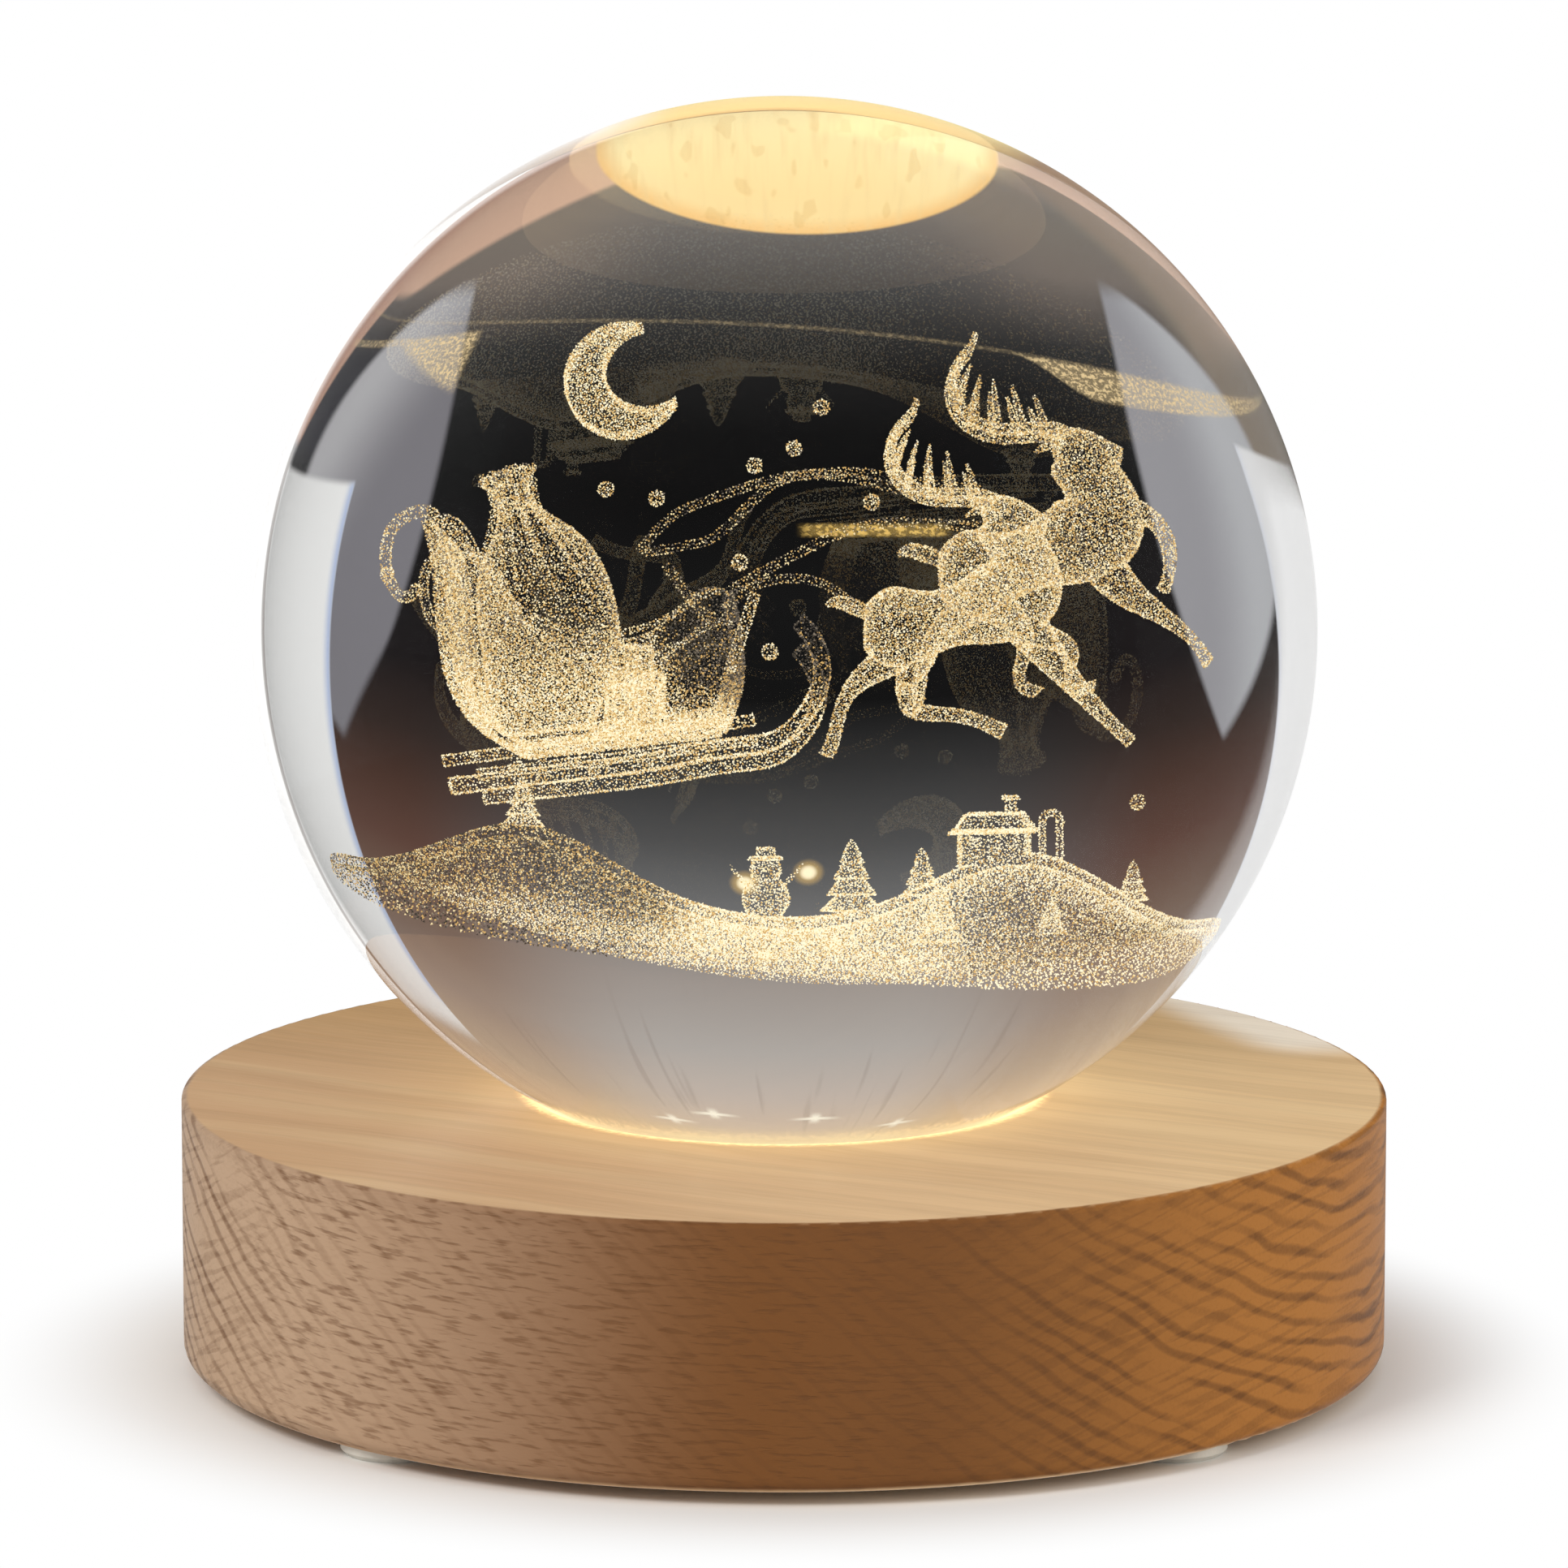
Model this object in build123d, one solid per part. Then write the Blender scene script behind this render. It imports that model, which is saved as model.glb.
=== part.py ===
from build123d import *
import math
import os

# A night light: a solid glass ball that rests in a turned beech base.
# The base holds four warm lamps under the ball, a power inlet and a push button at the back.
# Millimetres. The origin is the centre of the underside, +Z is up and the back is towards +Y.

# Ball and its seat
BALL_R = 40.0
BALL_SUNK = 4.8
SEAT_CONTACT_DEPTH = 0.8
SEAT_GAP = 0.1

# Wooden base
BASE_R = 45.5
WOOD_H = 20.0
TOP_EDGE_R = 0.4
BOTTOM_EDGE_R = 1.2
PAD_H = 1.0

# Light well, from the seat down
BORE_R = 16.0
WELL_R = 18.6
WELL_CLEAR = 0.2
WINDOW_T = 1.5
BALL_TO_WINDOW = 1.2
REFLECTOR_T = 3.0
REFLECTOR_FLOOR = 1.0
REFLECTOR_LIP = 0.2
REFLECTOR_FLOOR_R = 14.4
LAMP_OPENING_R = 3.1
LAMP_OPENING_SLOPE = 0.5
WINDOW_EDGE = 0.2

# Lamp board
BOARD_T = 1.6
BOARD_R = 23.5
LAMP_SPACING = 11.0
LAMP_L = 3.5
LAMP_W = 2.8
LAMP_H = 0.8
PHOSPHOR_R = 1.15
PHOSPHOR_DEPTH = 0.35
RESISTOR_COUNT = 4
RESISTOR_L = 3.2
RESISTOR_W = 1.6
RESISTOR_H = 0.55
RESISTOR_ROW_Y = -9.0
RESISTOR_PITCH = 5.0

# Screws of the lamp board
LAMP_SCREW_TO_WELL = 2.3
LAMP_SCREW_COUNT = 3
LAMP_SCREW_SHANK_R = 0.9
LAMP_SCREW_HEAD_R = 1.8
LAMP_SCREW_HEAD_H = 1.3
LAMP_SCREW_LENGTH = 6.0
SCREW_TIP_CLEAR = 0.4
SCREW_HOLE_CLEAR = 0.2
SCREW_EDGE = 0.4
DRIVE_W = 0.45
DRIVE_SHARE = 0.6

# Pocket and cover under the base
COVER_R = 35.0
COVER_LEDGE = 5.5
COVER_T = 2.0
COVER_CLEAR = 0.2
COVER_RIB_TO_WALL = 4.5
COVER_RIB_W = 1.4
COVER_RIB_CLEAR = 0.2
COVER_SCREW_COUNT = 4
COVER_SCREW_SHANK_R = 1.2
COVER_SCREW_HEAD_R = 2.3
COVER_SCREW_HEAD_H = 1.1
COVER_SCREW_LENGTH = 7.0
PAD_R = 4.0
PAD_EDGE = 0.4
PAD_COUNT = 4

# Slot through the back of the base, and the insert in it
SLOT_W = 24.2
SLOT_H = 8.4
SLOT_FLOOR_ABOVE_COVER = 0.8
SLOT_INTO_POCKET = 3.5
INSERT_CLEAR = 0.1
PLATE_SUNK = 1.9
PLATE_T = 1.6
PLATE_CORNER_R = 1.0
TRAY_T = 1.2
TRAY_L = 13.1

# Control board
CONTROL_W = 22.0
CONTROL_T = 1.2
CONTROL_L = 15.2
CONTROL_TO_PLATE = 0.2
PIN_HOLE_CLEAR = 0.1
TRAY_HOLE_CLEAR = 0.4
CONTROL_SCREW_SHANK_R = 0.6
CONTROL_SCREW_HEAD_R = 1.25
CONTROL_SCREW_HEAD_H = 0.9
CONTROL_SCREW_IN = 4.2
CONTROL_SCREW_TO_EDGE = 1.4
CONTROL_SCREW_SLOT = 0.4
CHIP_L = 4.9
CHIP_W = 3.9
CHIP_H = 1.5
CHIP_X = -5.5
CHIP_IN = 5.4
CHIP_LIFT = 0.1
CHIP_EDGE = 0.25
CHIP_LEAD_COUNT = 4
CHIP_LEAD_W = 0.42
CHIP_LEAD_T = 0.2
CHIP_LEAD_Z = 0.55
CHIP_LEAD_PITCH = 1.27
CHIP_LEAD_REACH = 0.9
CAPACITOR_R = 1.5
CAPACITOR_H = 2.4
CAPACITOR_X = 4.4
CAPACITOR_PITCH = 3.8
CAPACITOR_IN = 2.8
CAPACITOR_EDGE = 0.3

# Power inlet
SOCKET_X = -5.5
SOCKET_W = 8.94
SOCKET_H = 3.26
SOCKET_DEPTH = 7.35
SOCKET_WALL = 0.3
SOCKET_SET_BACK = 0.3
SOCKET_MOUTH_CLEAR = 0.15
SOCKET_BLOCK = 1.6
SOCKET_LEG_L = 1.1
SOCKET_LEG_IN = 1.5
SOCKET_LEG_PITCH = 3.5
TONGUE_W = 6.7
TONGUE_T = 0.7
TONGUE_SET_BACK = 0.7
TONGUE_EDGE = 0.15
CONTACT_COUNT = 12
CONTACT_PITCH = 0.5
CONTACT_W = 0.26
CONTACT_L = 3.6
CONTACT_T = 0.06

# Push button and its switch
BUTTON_X = 6.0
BUTTON_R = 2.3
BUTTON_HOLE_CLEAR = 0.2
BUTTON_PROUD = 1.3
BUTTON_EDGE_R = 0.45
BUTTON_DISH_R = 9.0
BUTTON_DISH = 0.2
BUTTON_RELIEF = 0.5
BUTTON_TRAVEL = 1.0
BUTTON_FLANGE_R = 2.95
BUTTON_FLANGE_T = 0.8
BUTTON_FLANGE_GAP = 0.25
SWITCH_W = 7.0
SWITCH_DEPTH = 6.4
BUTTON_STOP_GAP = 0.95
SWITCH_WALL = 0.7
PLUNGER_W = 2.0
PLUNGER_HEAD_W = 2.8
PLUNGER_HEAD_H = 1.9
PLUNGER_HEAD_L = 1.4
PLUNGER_REACH = 1.5
STEM_H = 1.4
SLIDE_CLEAR = 0.1
SPRING_R = 0.7
SPRING_WIRE_R = 0.13
SPRING_TURNS = 4
SPRING_END_GAP = 0.05
TERMINAL_W = 0.6
TERMINAL_T = 0.25
TERMINAL_IN_X = 0.9
TERMINAL_IN_Y = 1.4

# Leads between the boards
HEADER_W = 5.0
HEADER_L = 3.6
HEADER_H = 2.2
HEADER_WALL = 0.5
LAMP_HEADER_Y = 15.4
CONTROL_HEADER_X = -3.4
CONTROL_HEADER_IN = 1.2
WIRE_R = 0.6
WIRE_PITCH = 2.4
WIRE_EXIT = 2.4
WIRE_BEND_SHARE = 0.45

# Engraving: regions of fine cracks, drawn about the centre of a ball 80 wide and scaled with the ball
ENGRAVING_SCALE = BALL_R / 40
GROUND_REACH = (24.0, 12.5)
GROUND_T = 0.6
GROUND_FALL = (3.0, 1.2)
HILLS = ((-12.8, 3.6, 38), (12.0, 4.3, 44))
FIRS = ((-12.9, 0, 2.6), (3.3, 0, 3.7), (6.6, 1.5, 2.4), (8.4, -8, 3.5), (14.6, -7, 2.3), (17.6, 0, 2.3))
SNOW = (
    (1.9, 11.5), (0.5, 9.3), (-1.5, 8.4), (-9.0, 7.2), (-6.4, 6.7), (-20.6, 2.9), (4.4, 6.5), (17.8, -8.8),
    (-0.7, -1.1), (-2.2, 3.4),
)
STAG_BODY = (
    (-5.1, 0.2, 1.1), (-4.2, 0.0, 1.9), (-2.9, -0.1, 1.95), (-0.8, -0.1, 1.5), (1.4, 0.1, 2.0),
    (3.0, 0.5, 2.25), (3.7, 2.0, 1.8), (3.4, 3.4, 1.5), (2.9, 4.6, 1.15),
)
STAG_HEAD = ((2.2, 4.6, 0.8), (3.2, 4.6, 1.1), (4.3, 4.2, 0.85), (5.4, 3.7, 0.5))
STAG_ANTLER = (
    (3.0, 5.2, 0.35), (1.8, 5.9, 0.3), (-0.2, 6.3, 0.28), (-1.6, 7.3, 0.26), (-2.0, 8.9, 0.24),
    (-1.3, 10.2, 0.2), (0.0, 11.5, 0.14),
)
STAG_SPREAD = 0.75
LEAPING = (
    (1, [(-3.6, -0.4, 1.2), (-4.8, -2.0, 0.8), (-6.5, -2.9, 0.42), (-7.5, -4.4, 0.32), (-8.4, -5.9, 0.36)]),
    (-1, [(-3.0, -0.6, 1.2), (-3.0, -2.2, 0.85), (-3.7, -3.7, 0.45), (-1.8, -4.6, 0.32), (0.6, -6.2, 0.36)]),
    (1, [(3.2, -0.4, 1.1), (3.9, -2.2, 0.7), (5.0, -3.6, 0.42), (4.6, -4.6, 0.3), (5.9, -5.2, 0.34)]),
    (-1, [(3.0, -0.6, 1.3), (4.2, -3.0, 0.85), (5.6, -5.4, 0.5), (7.7, -8.4, 0.36)]),
)
REACHING = (
    (1, [(-3.6, -0.4, 1.2), (-4.8, -2.0, 0.8), (-6.5, -2.9, 0.42), (-7.5, -4.4, 0.32), (-8.4, -5.9, 0.36)]),
    (-1, [(-3.3, -0.5, 1.0), (-2.4, -2.4, 0.75), (-1.9, -3.9, 0.42), (-2.6, -5.2, 0.3), (-2.0, -6.4, 0.34)]),
    (1, [(3.4, 0.2, 1.0), (5.2, 0.6, 0.6), (6.1, -0.6, 0.4), (5.8, -2.6, 0.3), (5.2, -3.4, 0.34)]),
    (-1, [(3.0, -0.6, 1.2), (3.8, -2.8, 0.8), (5.2, -4.4, 0.45), (7.0, -7.4, 0.36)]),
)
SLEIGH_WALL = 0.5
SLEIGH_TRACK = 8.2
SLEIGH_SACK = (
    (-11.6, -5.6, 2.3), (-11.6, -2.4, 3.3), (-11.9, 1.0, 3.5), (-12.7, 3.9, 2.7), (-13.4, 5.7, 1.3),
    (-13.7, 6.5, 0.95), (-14.2, 8.0, 1.6),
)
SLEIGH_BRIM = (
    (-2.7, 1.1), (-3.6, 1.3), (-5.8, -0.5), (-9.5, -1.2), (-13.4, 0.6), (-16.2, 4.9), (-17.5, 4.8),
)
SKI_POINTS = (
    (-15.7, -8.2), (-11.2, -7.6), (-5.5, -6.8), (-2.7, -6.3), (-0.2, -5.8), (1.0, -4.7), (1.8, -2.6),
    (1.5, -1.4), (0.7, -0.3),
)
SCROLL_POINTS = ((-16.9, 3.2), (-17.6, 5.2), (-19.0, 4.6), (-19.4, 2.4), (-18.4, 0.9), (-17.6, 1.4))
MOON_R = 3.05
MOON_BITE_R = 2.35
MOON_T = 1.6
SNOW_R = 0.4

# Levels, from the surface that the base stands on
wood_bottom = PAD_H
wood_top = wood_bottom + WOOD_H
ball_centre = wood_top - BALL_SUNK + BALL_R
window_top = wood_top - BALL_SUNK - BALL_TO_WINDOW
window_bottom = window_top - WINDOW_T
pocket_ceiling = window_bottom - REFLECTOR_T
board_bottom = pocket_ceiling - BOARD_T
cover_top = wood_bottom + COVER_T
rebate_top = cover_top
slot_floor = rebate_top + SLOT_FLOOR_ABOVE_COVER
cover_rib_top = slot_floor - COVER_RIB_CLEAR
slot_mid = slot_floor + SLOT_H / 2
tray_bottom = slot_floor + INSERT_CLEAR
control_bottom = tray_bottom + TRAY_T
control_top = control_bottom + CONTROL_T

# Distances from the axis
well_fit_r = WELL_R - WELL_CLEAR
lamp_screw_r = WELL_R + LAMP_SCREW_TO_WELL
pocket_r = COVER_R - COVER_LEDGE
cover_rib_r = pocket_r - COVER_RIB_TO_WALL
cover_screw_r = COVER_R - COVER_LEDGE / 2
pad_circle_r = (COVER_R + COVER_CLEAR + BASE_R) / 2

# Depths of the insert, its board and what stands on the board
plate_face_y = BASE_R - PLATE_SUNK
plate_back_y = plate_face_y - PLATE_T
tray_start_y = plate_back_y - TRAY_L
control_end_y = plate_back_y - CONTROL_TO_PLATE
control_start_y = control_end_y - CONTROL_L
slot_start_y = pocket_r - SLOT_INTO_POCKET
control_screw_y = control_start_y + CONTROL_SCREW_IN
control_screw_x = CONTROL_W / 2 - CONTROL_SCREW_TO_EDGE
chip_y = control_start_y + CHIP_IN
capacitor_y = control_start_y + CAPACITOR_IN
control_header_y = control_start_y - CONTROL_HEADER_IN
socket_mid = control_top + SOCKET_H / 2
socket_front = plate_face_y - SOCKET_SET_BACK
socket_back = socket_front - SOCKET_DEPTH
cap_face_y = plate_face_y + BUTTON_PROUD
flange_front = plate_back_y - BUTTON_FLANGE_GAP
flange_back = flange_front - BUTTON_FLANGE_T
switch_front = flange_back - BUTTON_TRAVEL - BUTTON_STOP_GAP
switch_back = switch_front - SWITCH_DEPTH
switch_h = 2 * (slot_mid - control_top)
head_front = switch_front - SWITCH_WALL - SLIDE_CLEAR
head_back = head_front - PLUNGER_HEAD_L
stem_end = flange_back + PLUNGER_REACH
lamp_header_z = board_bottom - HEADER_H / 2
control_header_z = control_top + HEADER_H / 2

# The seat's cone touches the ball, with the gap between them, along one circle
ball_above_top = ball_centre - wood_top
seat_angle = math.acos((ball_above_top + SEAT_CONTACT_DEPTH) / BALL_R)
seat_slope = math.tan(seat_angle)
seat_r = (BALL_R + SEAT_GAP) * math.sin(seat_angle)
seat_z = ball_centre - (BALL_R + SEAT_GAP) * math.cos(seat_angle)
seat_top_r = seat_r + (wood_top - seat_z) / seat_slope
seat_bottom_z = seat_z - (seat_r - BORE_R) * seat_slope


def disc(radius, bottom, top, x=0.0, y=0.0):
    """A round solid between two levels."""
    return Pos(x, y, bottom) * Cylinder(radius, top - bottom, align=(Align.CENTER, Align.CENTER, Align.MIN))


def block(x, y, z):
    """A box from three (low, high) pairs."""
    size = [high - low for low, high in (x, y, z)]
    middle = [(high + low) / 2 for low, high in (x, y, z)]
    return Pos(*middle) * Box(*size)


def around(middle, width):
    """The (low, high) pair of a width about a middle."""
    return (middle - width / 2, middle + width / 2)


def on_circle(radius, count, first_deg):
    """Points evenly spaced on a circle about the axis."""
    angles = [math.radians(first_deg + 360 * i / count) for i in range(count)]
    return [(radius * math.cos(a), radius * math.sin(a)) for a in angles]


def upright(sketch, y_from, y_to, x, z):
    """A sketch drawn in X and Z, extruded from one depth to another."""
    plane = Plane(origin=(x, y_from, z), x_dir=(1, 0, 0), z_dir=(0, 1, 0))
    return extrude(plane * sketch, amount=y_to - y_from)


def group(solids):
    """Separate solids kept together in one node."""
    return Compound(children=list(solids))


def write(name, shape):
    """One file per sub-part."""
    export_step(shape, f"parts/{name}.step")


lamp_points = [(x, y) for x in around(0, LAMP_SPACING) for y in around(0, LAMP_SPACING)]
lamp_screw_points = on_circle(lamp_screw_r, LAMP_SCREW_COUNT, -90)
cover_screw_points = on_circle(cover_screw_r, COVER_SCREW_COUNT, 45)
pad_points = on_circle(pad_circle_r, PAD_COUNT, 45)
control_screw_points = [(side * control_screw_x, control_screw_y) for side in (-1, 1)]
leg_points = [
    (SOCKET_X + side * (SOCKET_W - SOCKET_WALL) / 2, socket_back + SOCKET_LEG_IN + row * SOCKET_LEG_PITCH)
    for side in (-1, 1)
    for row in (0, 1)
]
terminal_points = [
    (BUTTON_X + side * (SWITCH_W / 2 - TERMINAL_IN_X), y)
    for side in (-1, 1)
    for y in (switch_back + TERMINAL_IN_Y, switch_front - TERMINAL_IN_Y)
]


def ground_level(x, y):
    """Height of the engraved snow: two hills on ground that falls away from the middle."""
    front, back = GROUND_FALL
    level = -14.4 - 0.085 * x - (front if y < 0 else back) * (y / 12) ** 2
    for hill_x, height, spread in HILLS:
        level += height * math.exp(-((x - hill_x) ** 2) / spread - (y + 0.5) ** 2 / 34)
    return level


def limb(points):
    """A round limb through points of (x, z, radius), with each section square to its run."""
    sections = []
    for i, (x, z, radius) in enumerate(points):
        before = points[max(i - 1, 0)]
        after = points[min(i + 1, len(points) - 1)]
        run = (after[0] - before[0], 0, after[1] - before[1])
        sections.append(Plane(origin=(x, 0, z), x_dir=(0, 1, 0), z_dir=run) * Circle(radius))
    return loft(sections)


def cut_out(sketch, y, depth):
    """A sketch in X and Z, extruded to both sides of a depth."""
    return Pos(0, y, 0) * extrude(Plane.XZ * sketch, amount=depth / 2, both=True)


def snowy_ground():
    """A thin wavy sheet with an oval rim."""
    wide, deep = GROUND_REACH
    across = [wide * (i - 10) / 9.6 for i in range(21)]
    along = [deep * (i - 7) / 6.3 for i in range(15)]
    points = [[Vector(x, y, ground_level(x, y)) for y in along] for x in across]
    top = Face.make_surface_from_array_of_points(points)
    sheet = extrude(top, amount=GROUND_T, dir=(0, 0, -1))
    return sheet & extrude(Pos(0, 0, -wide) * Ellipse(wide, deep), amount=wide)


def fir(x, y, height):
    """Four tiers of boughs, turned in one piece."""
    tier = height / 4.4
    trunk = 0.05 * height
    outline = [(0, 0), (trunk, 0), (trunk, 0.5 * tier)]
    for i in range(4):
        bough = (0.42 - 0.09 * i) * height
        level = (0.5 + 0.95 * i) * tier
        outline += [(bough, level), (0.45 * bough, level + tier)]
    outline += [(0, 1.08 * height), (0, 0)]
    turned = revolve(Plane.XZ * make_face(Polyline(*outline)), axis=Axis.Z)
    return Pos(x, y, ground_level(x, y) - 0.4) * turned


def cottage():
    """Walls, a hipped roof, a chimney and a garden arch on the right hill."""
    x = 10.3
    foot = ground_level(x, 0) - 0.5
    house = Pos(x, 0, foot + 0.9) * Box(3.4, 2.2, 1.8)
    house += Pos(x + 0.8, 0.4, foot + 2.7) * Box(0.5, 0.5, 1.2)
    house += cut_out(Pos(x, foot + 2.15) * Trapezoid(4.0, 0.9, 56), 0, 2.6)
    gate = SlotOverall(2.9, 1.2, rotation=90) - SlotOverall(2.3, 0.6, rotation=90)
    return house, cut_out(Pos(x + 2.9, foot + 1.3) * gate, 0, 0.4)


def snow_figure():
    """Two balls of snow and a pail on top."""
    x, y = -0.9, -0.6
    foot = ground_level(x, y)
    figure = Pos(x, y, foot + 0.9) * Sphere(1.15)
    figure += Pos(x, y, foot + 2.3) * Sphere(0.75)
    return figure + Pos(x, y, foot + 3.1) * Cylinder(0.45, 0.6)


def landscape():
    return snowy_ground() + [*(fir(*place) for place in FIRS), *cottage(), snow_figure()]


def crescent_moon():
    return cut_out(Pos(-8.3, 13.1) * Circle(MOON_R) - Pos(-6.98, 13.7) * Circle(MOON_BITE_R), 0, MOON_T)


def snowfall():
    return [Pos(x, 0, z) * Sphere(SNOW_R) for x, z in SNOW]


def sleigh():
    """An open tub on two skis, with struts between ski and rail, a full sack and three parcels."""
    back = Spline((-17.5, 4.8), (-16.6, 1.0), (-15.7, -3.4), (-13.3, -5.9))
    floor = Line((-13.3, -5.9), (-3.2, -4.6))
    front = Spline((-3.2, -4.6), (-2.3, -1.6), (-2.7, 1.1))
    brim = Spline(*SLEIGH_BRIM)
    side = make_face([back, floor, front, brim])
    ski = trace(Spline(*SKI_POINTS), 1.5 * SLEIGH_WALL)
    rail = trace(Line((-16.1, -7.0), (-1.4, -5.0)), SLEIGH_WALL)
    scroll = trace(Spline(*SCROLL_POINTS), SLEIGH_WALL)
    pieces = [cut_out(trace(run, SLEIGH_WALL), 0, SLEIGH_TRACK) for run in (back, floor, front)]
    for y in (-SLEIGH_TRACK / 2, SLEIGH_TRACK / 2):
        pieces += [cut_out(outline, y, SLEIGH_WALL) for outline in (side, rail, scroll)]
        pieces.append(cut_out(ski, y, 1.6 * SLEIGH_WALL))
        for x in (-12.6, -9.8, -7.0, -4.2):
            pieces.append(Pos(x, y, -6.2 + 0.14 * (x + 8.4)) * Box(SLEIGH_WALL, 0.8 * SLEIGH_WALL, 2.2))
    for x, y, z, size in ((-7.6, -1.7, -3.7, 2.6), (-7.0, 1.7, -3.7, 2.4), (-7.5, 0, -1.9, 2.0)):
        pieces.append(Pos(x, y, z) * Box(size, size, size))
    return limb(SLEIGH_SACK) + pieces


def stag(legs):
    """Body and neck in one, with a head, four legs and a pair of antlers swept back."""
    pieces = [limb(STAG_HEAD)]
    pieces += [Pos(0, side * STAG_SPREAD, 0) * limb(leg) for side, leg in legs]
    pieces += [Pos(0, side * STAG_SPREAD, 0) * limb(STAG_ANTLER) for side in (-1, 1)]
    body = limb(STAG_BODY)
    for piece in pieces:
        body += piece
    return body


def stags():
    near = Pos(9.2, -3.0, 1.4) * Rot(0, -11, 0) * stag(LEAPING)
    far = Pos(12.5, 3.2, 3.2) * Rot(0, -15, 0) * stag(REACHING)
    return [near, far]


def in_ball(forms):
    """Drawn forms at their real size and place."""
    return [Pos(0, 0, ball_centre) * scale(form, by=ENGRAVING_SCALE) for form in forms]


def crystal_ball(engraved):
    """A solid ball of glass, less the cracked regions inside it."""
    return Pos(0, 0, ball_centre) * Sphere(BALL_R) - [form for forms in engraved for form in forms]


def wood_base():
    """A turned disc: seat and bore above, light well, pocket and cover rebate below."""
    outline = Polyline(
        (BORE_R, window_top),
        (BORE_R, seat_bottom_z),
        (seat_top_r, wood_top),
        (BASE_R, wood_top),
        (BASE_R, wood_bottom),
        (COVER_R + COVER_CLEAR, wood_bottom),
        (COVER_R + COVER_CLEAR, rebate_top),
        (pocket_r, rebate_top),
        (pocket_r, pocket_ceiling),
        (WELL_R, pocket_ceiling),
        (WELL_R, window_top),
        (BORE_R, window_top),
    )
    base = revolve(Plane.XZ * make_face(outline), axis=Axis.Z)
    rims = base.edges().filter_by(GeomType.CIRCLE)
    outer = [e for e in rims if abs(e.radius - BASE_R) < 0.01]
    base = fillet([e for e in outer if e.center().Z > wood_top - 0.01], TOP_EDGE_R)
    rims = base.edges().filter_by(GeomType.CIRCLE)
    outer = [e for e in rims if abs(e.radius - BASE_R) < 0.01]
    base = fillet([e for e in outer if e.center().Z < wood_bottom + 0.01], BOTTOM_EDGE_R)
    slot = RectangleRounded(SLOT_W, SLOT_H, PLATE_CORNER_R + INSERT_CLEAR)
    base -= upright(slot, slot_start_y, BASE_R + 1, 0, slot_mid)
    for x, y in lamp_screw_points:
        tip = board_bottom + LAMP_SCREW_LENGTH
        base -= disc(LAMP_SCREW_SHANK_R, board_bottom, tip, x, y)
    for x, y in cover_screw_points:
        tip = wood_bottom + COVER_SCREW_LENGTH
        base -= disc(COVER_SCREW_SHANK_R, wood_bottom, tip, x, y)
    return base


def light_window():
    window = disc(well_fit_r, window_bottom, window_top)
    return chamfer(window.edges().filter_by(GeomType.CIRCLE), WINDOW_EDGE)


def reflector():
    """A white ring with a flat floor, and an opening with sloped sides over each lamp."""
    floor = pocket_ceiling + REFLECTOR_FLOOR
    outline = Polyline(
        (0, pocket_ceiling),
        (well_fit_r, pocket_ceiling),
        (well_fit_r, window_bottom),
        (BORE_R + REFLECTOR_LIP, window_bottom),
        (REFLECTOR_FLOOR_R, floor),
        (0, floor),
        (0, pocket_ceiling),
    )
    ring = revolve(Plane.XZ * make_face(outline), axis=Axis.Z)
    for x, y in lamp_points:
        cone = Cone(LAMP_OPENING_R - LAMP_OPENING_SLOPE, LAMP_OPENING_R, REFLECTOR_FLOOR)
        ring -= Pos(x, y, pocket_ceiling + REFLECTOR_FLOOR / 2) * cone
    return ring


def led_board():
    board = disc(BOARD_R, board_bottom, pocket_ceiling)
    for x, y in lamp_screw_points:
        hole = LAMP_SCREW_SHANK_R + SCREW_HOLE_CLEAR
        board -= disc(hole, board_bottom - 1, pocket_ceiling + 1, x, y)
    return board


def led_package(x, y):
    """A white package with a shallow dish for the phosphor."""
    top = pocket_ceiling + LAMP_H
    package = block(around(x, LAMP_W), around(y, LAMP_L), (pocket_ceiling, top))
    return package - disc(PHOSPHOR_R, top - PHOSPHOR_DEPTH, top + 1, x, y)


def led_phosphor(x, y):
    top = pocket_ceiling + LAMP_H
    return disc(PHOSPHOR_R, top - PHOSPHOR_DEPTH, top, x, y)


def led_resistor(index):
    x = (index - (RESISTOR_COUNT - 1) / 2) * RESISTOR_PITCH
    level = (board_bottom - RESISTOR_H, board_bottom)
    return block(around(x, RESISTOR_W), around(RESISTOR_ROW_Y, RESISTOR_L), level)


def drive(head_r, face, head_h, x, y):
    """A cross recess that opens downwards from a screw head's face."""
    reach = 2 * DRIVE_SHARE * head_r
    level = (face - 1, face + DRIVE_SHARE * head_h)
    across = block(around(x, reach), around(y, DRIVE_W), level)
    along = block(around(x, DRIVE_W), around(y, reach), level)
    return across + along


def lamp_board_screw(x, y):
    """Pan head under the board, shank up into the wood."""
    face = board_bottom - LAMP_SCREW_HEAD_H
    head = disc(LAMP_SCREW_HEAD_R, face, board_bottom, x, y)
    head = chamfer(head.edges().group_by(Axis.Z)[0], SCREW_EDGE)
    shank = disc(LAMP_SCREW_SHANK_R, board_bottom, board_bottom + LAMP_SCREW_LENGTH - SCREW_TIP_CLEAR, x, y)
    return head + shank - drive(LAMP_SCREW_HEAD_R, face, LAMP_SCREW_HEAD_H, x, y)


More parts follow.
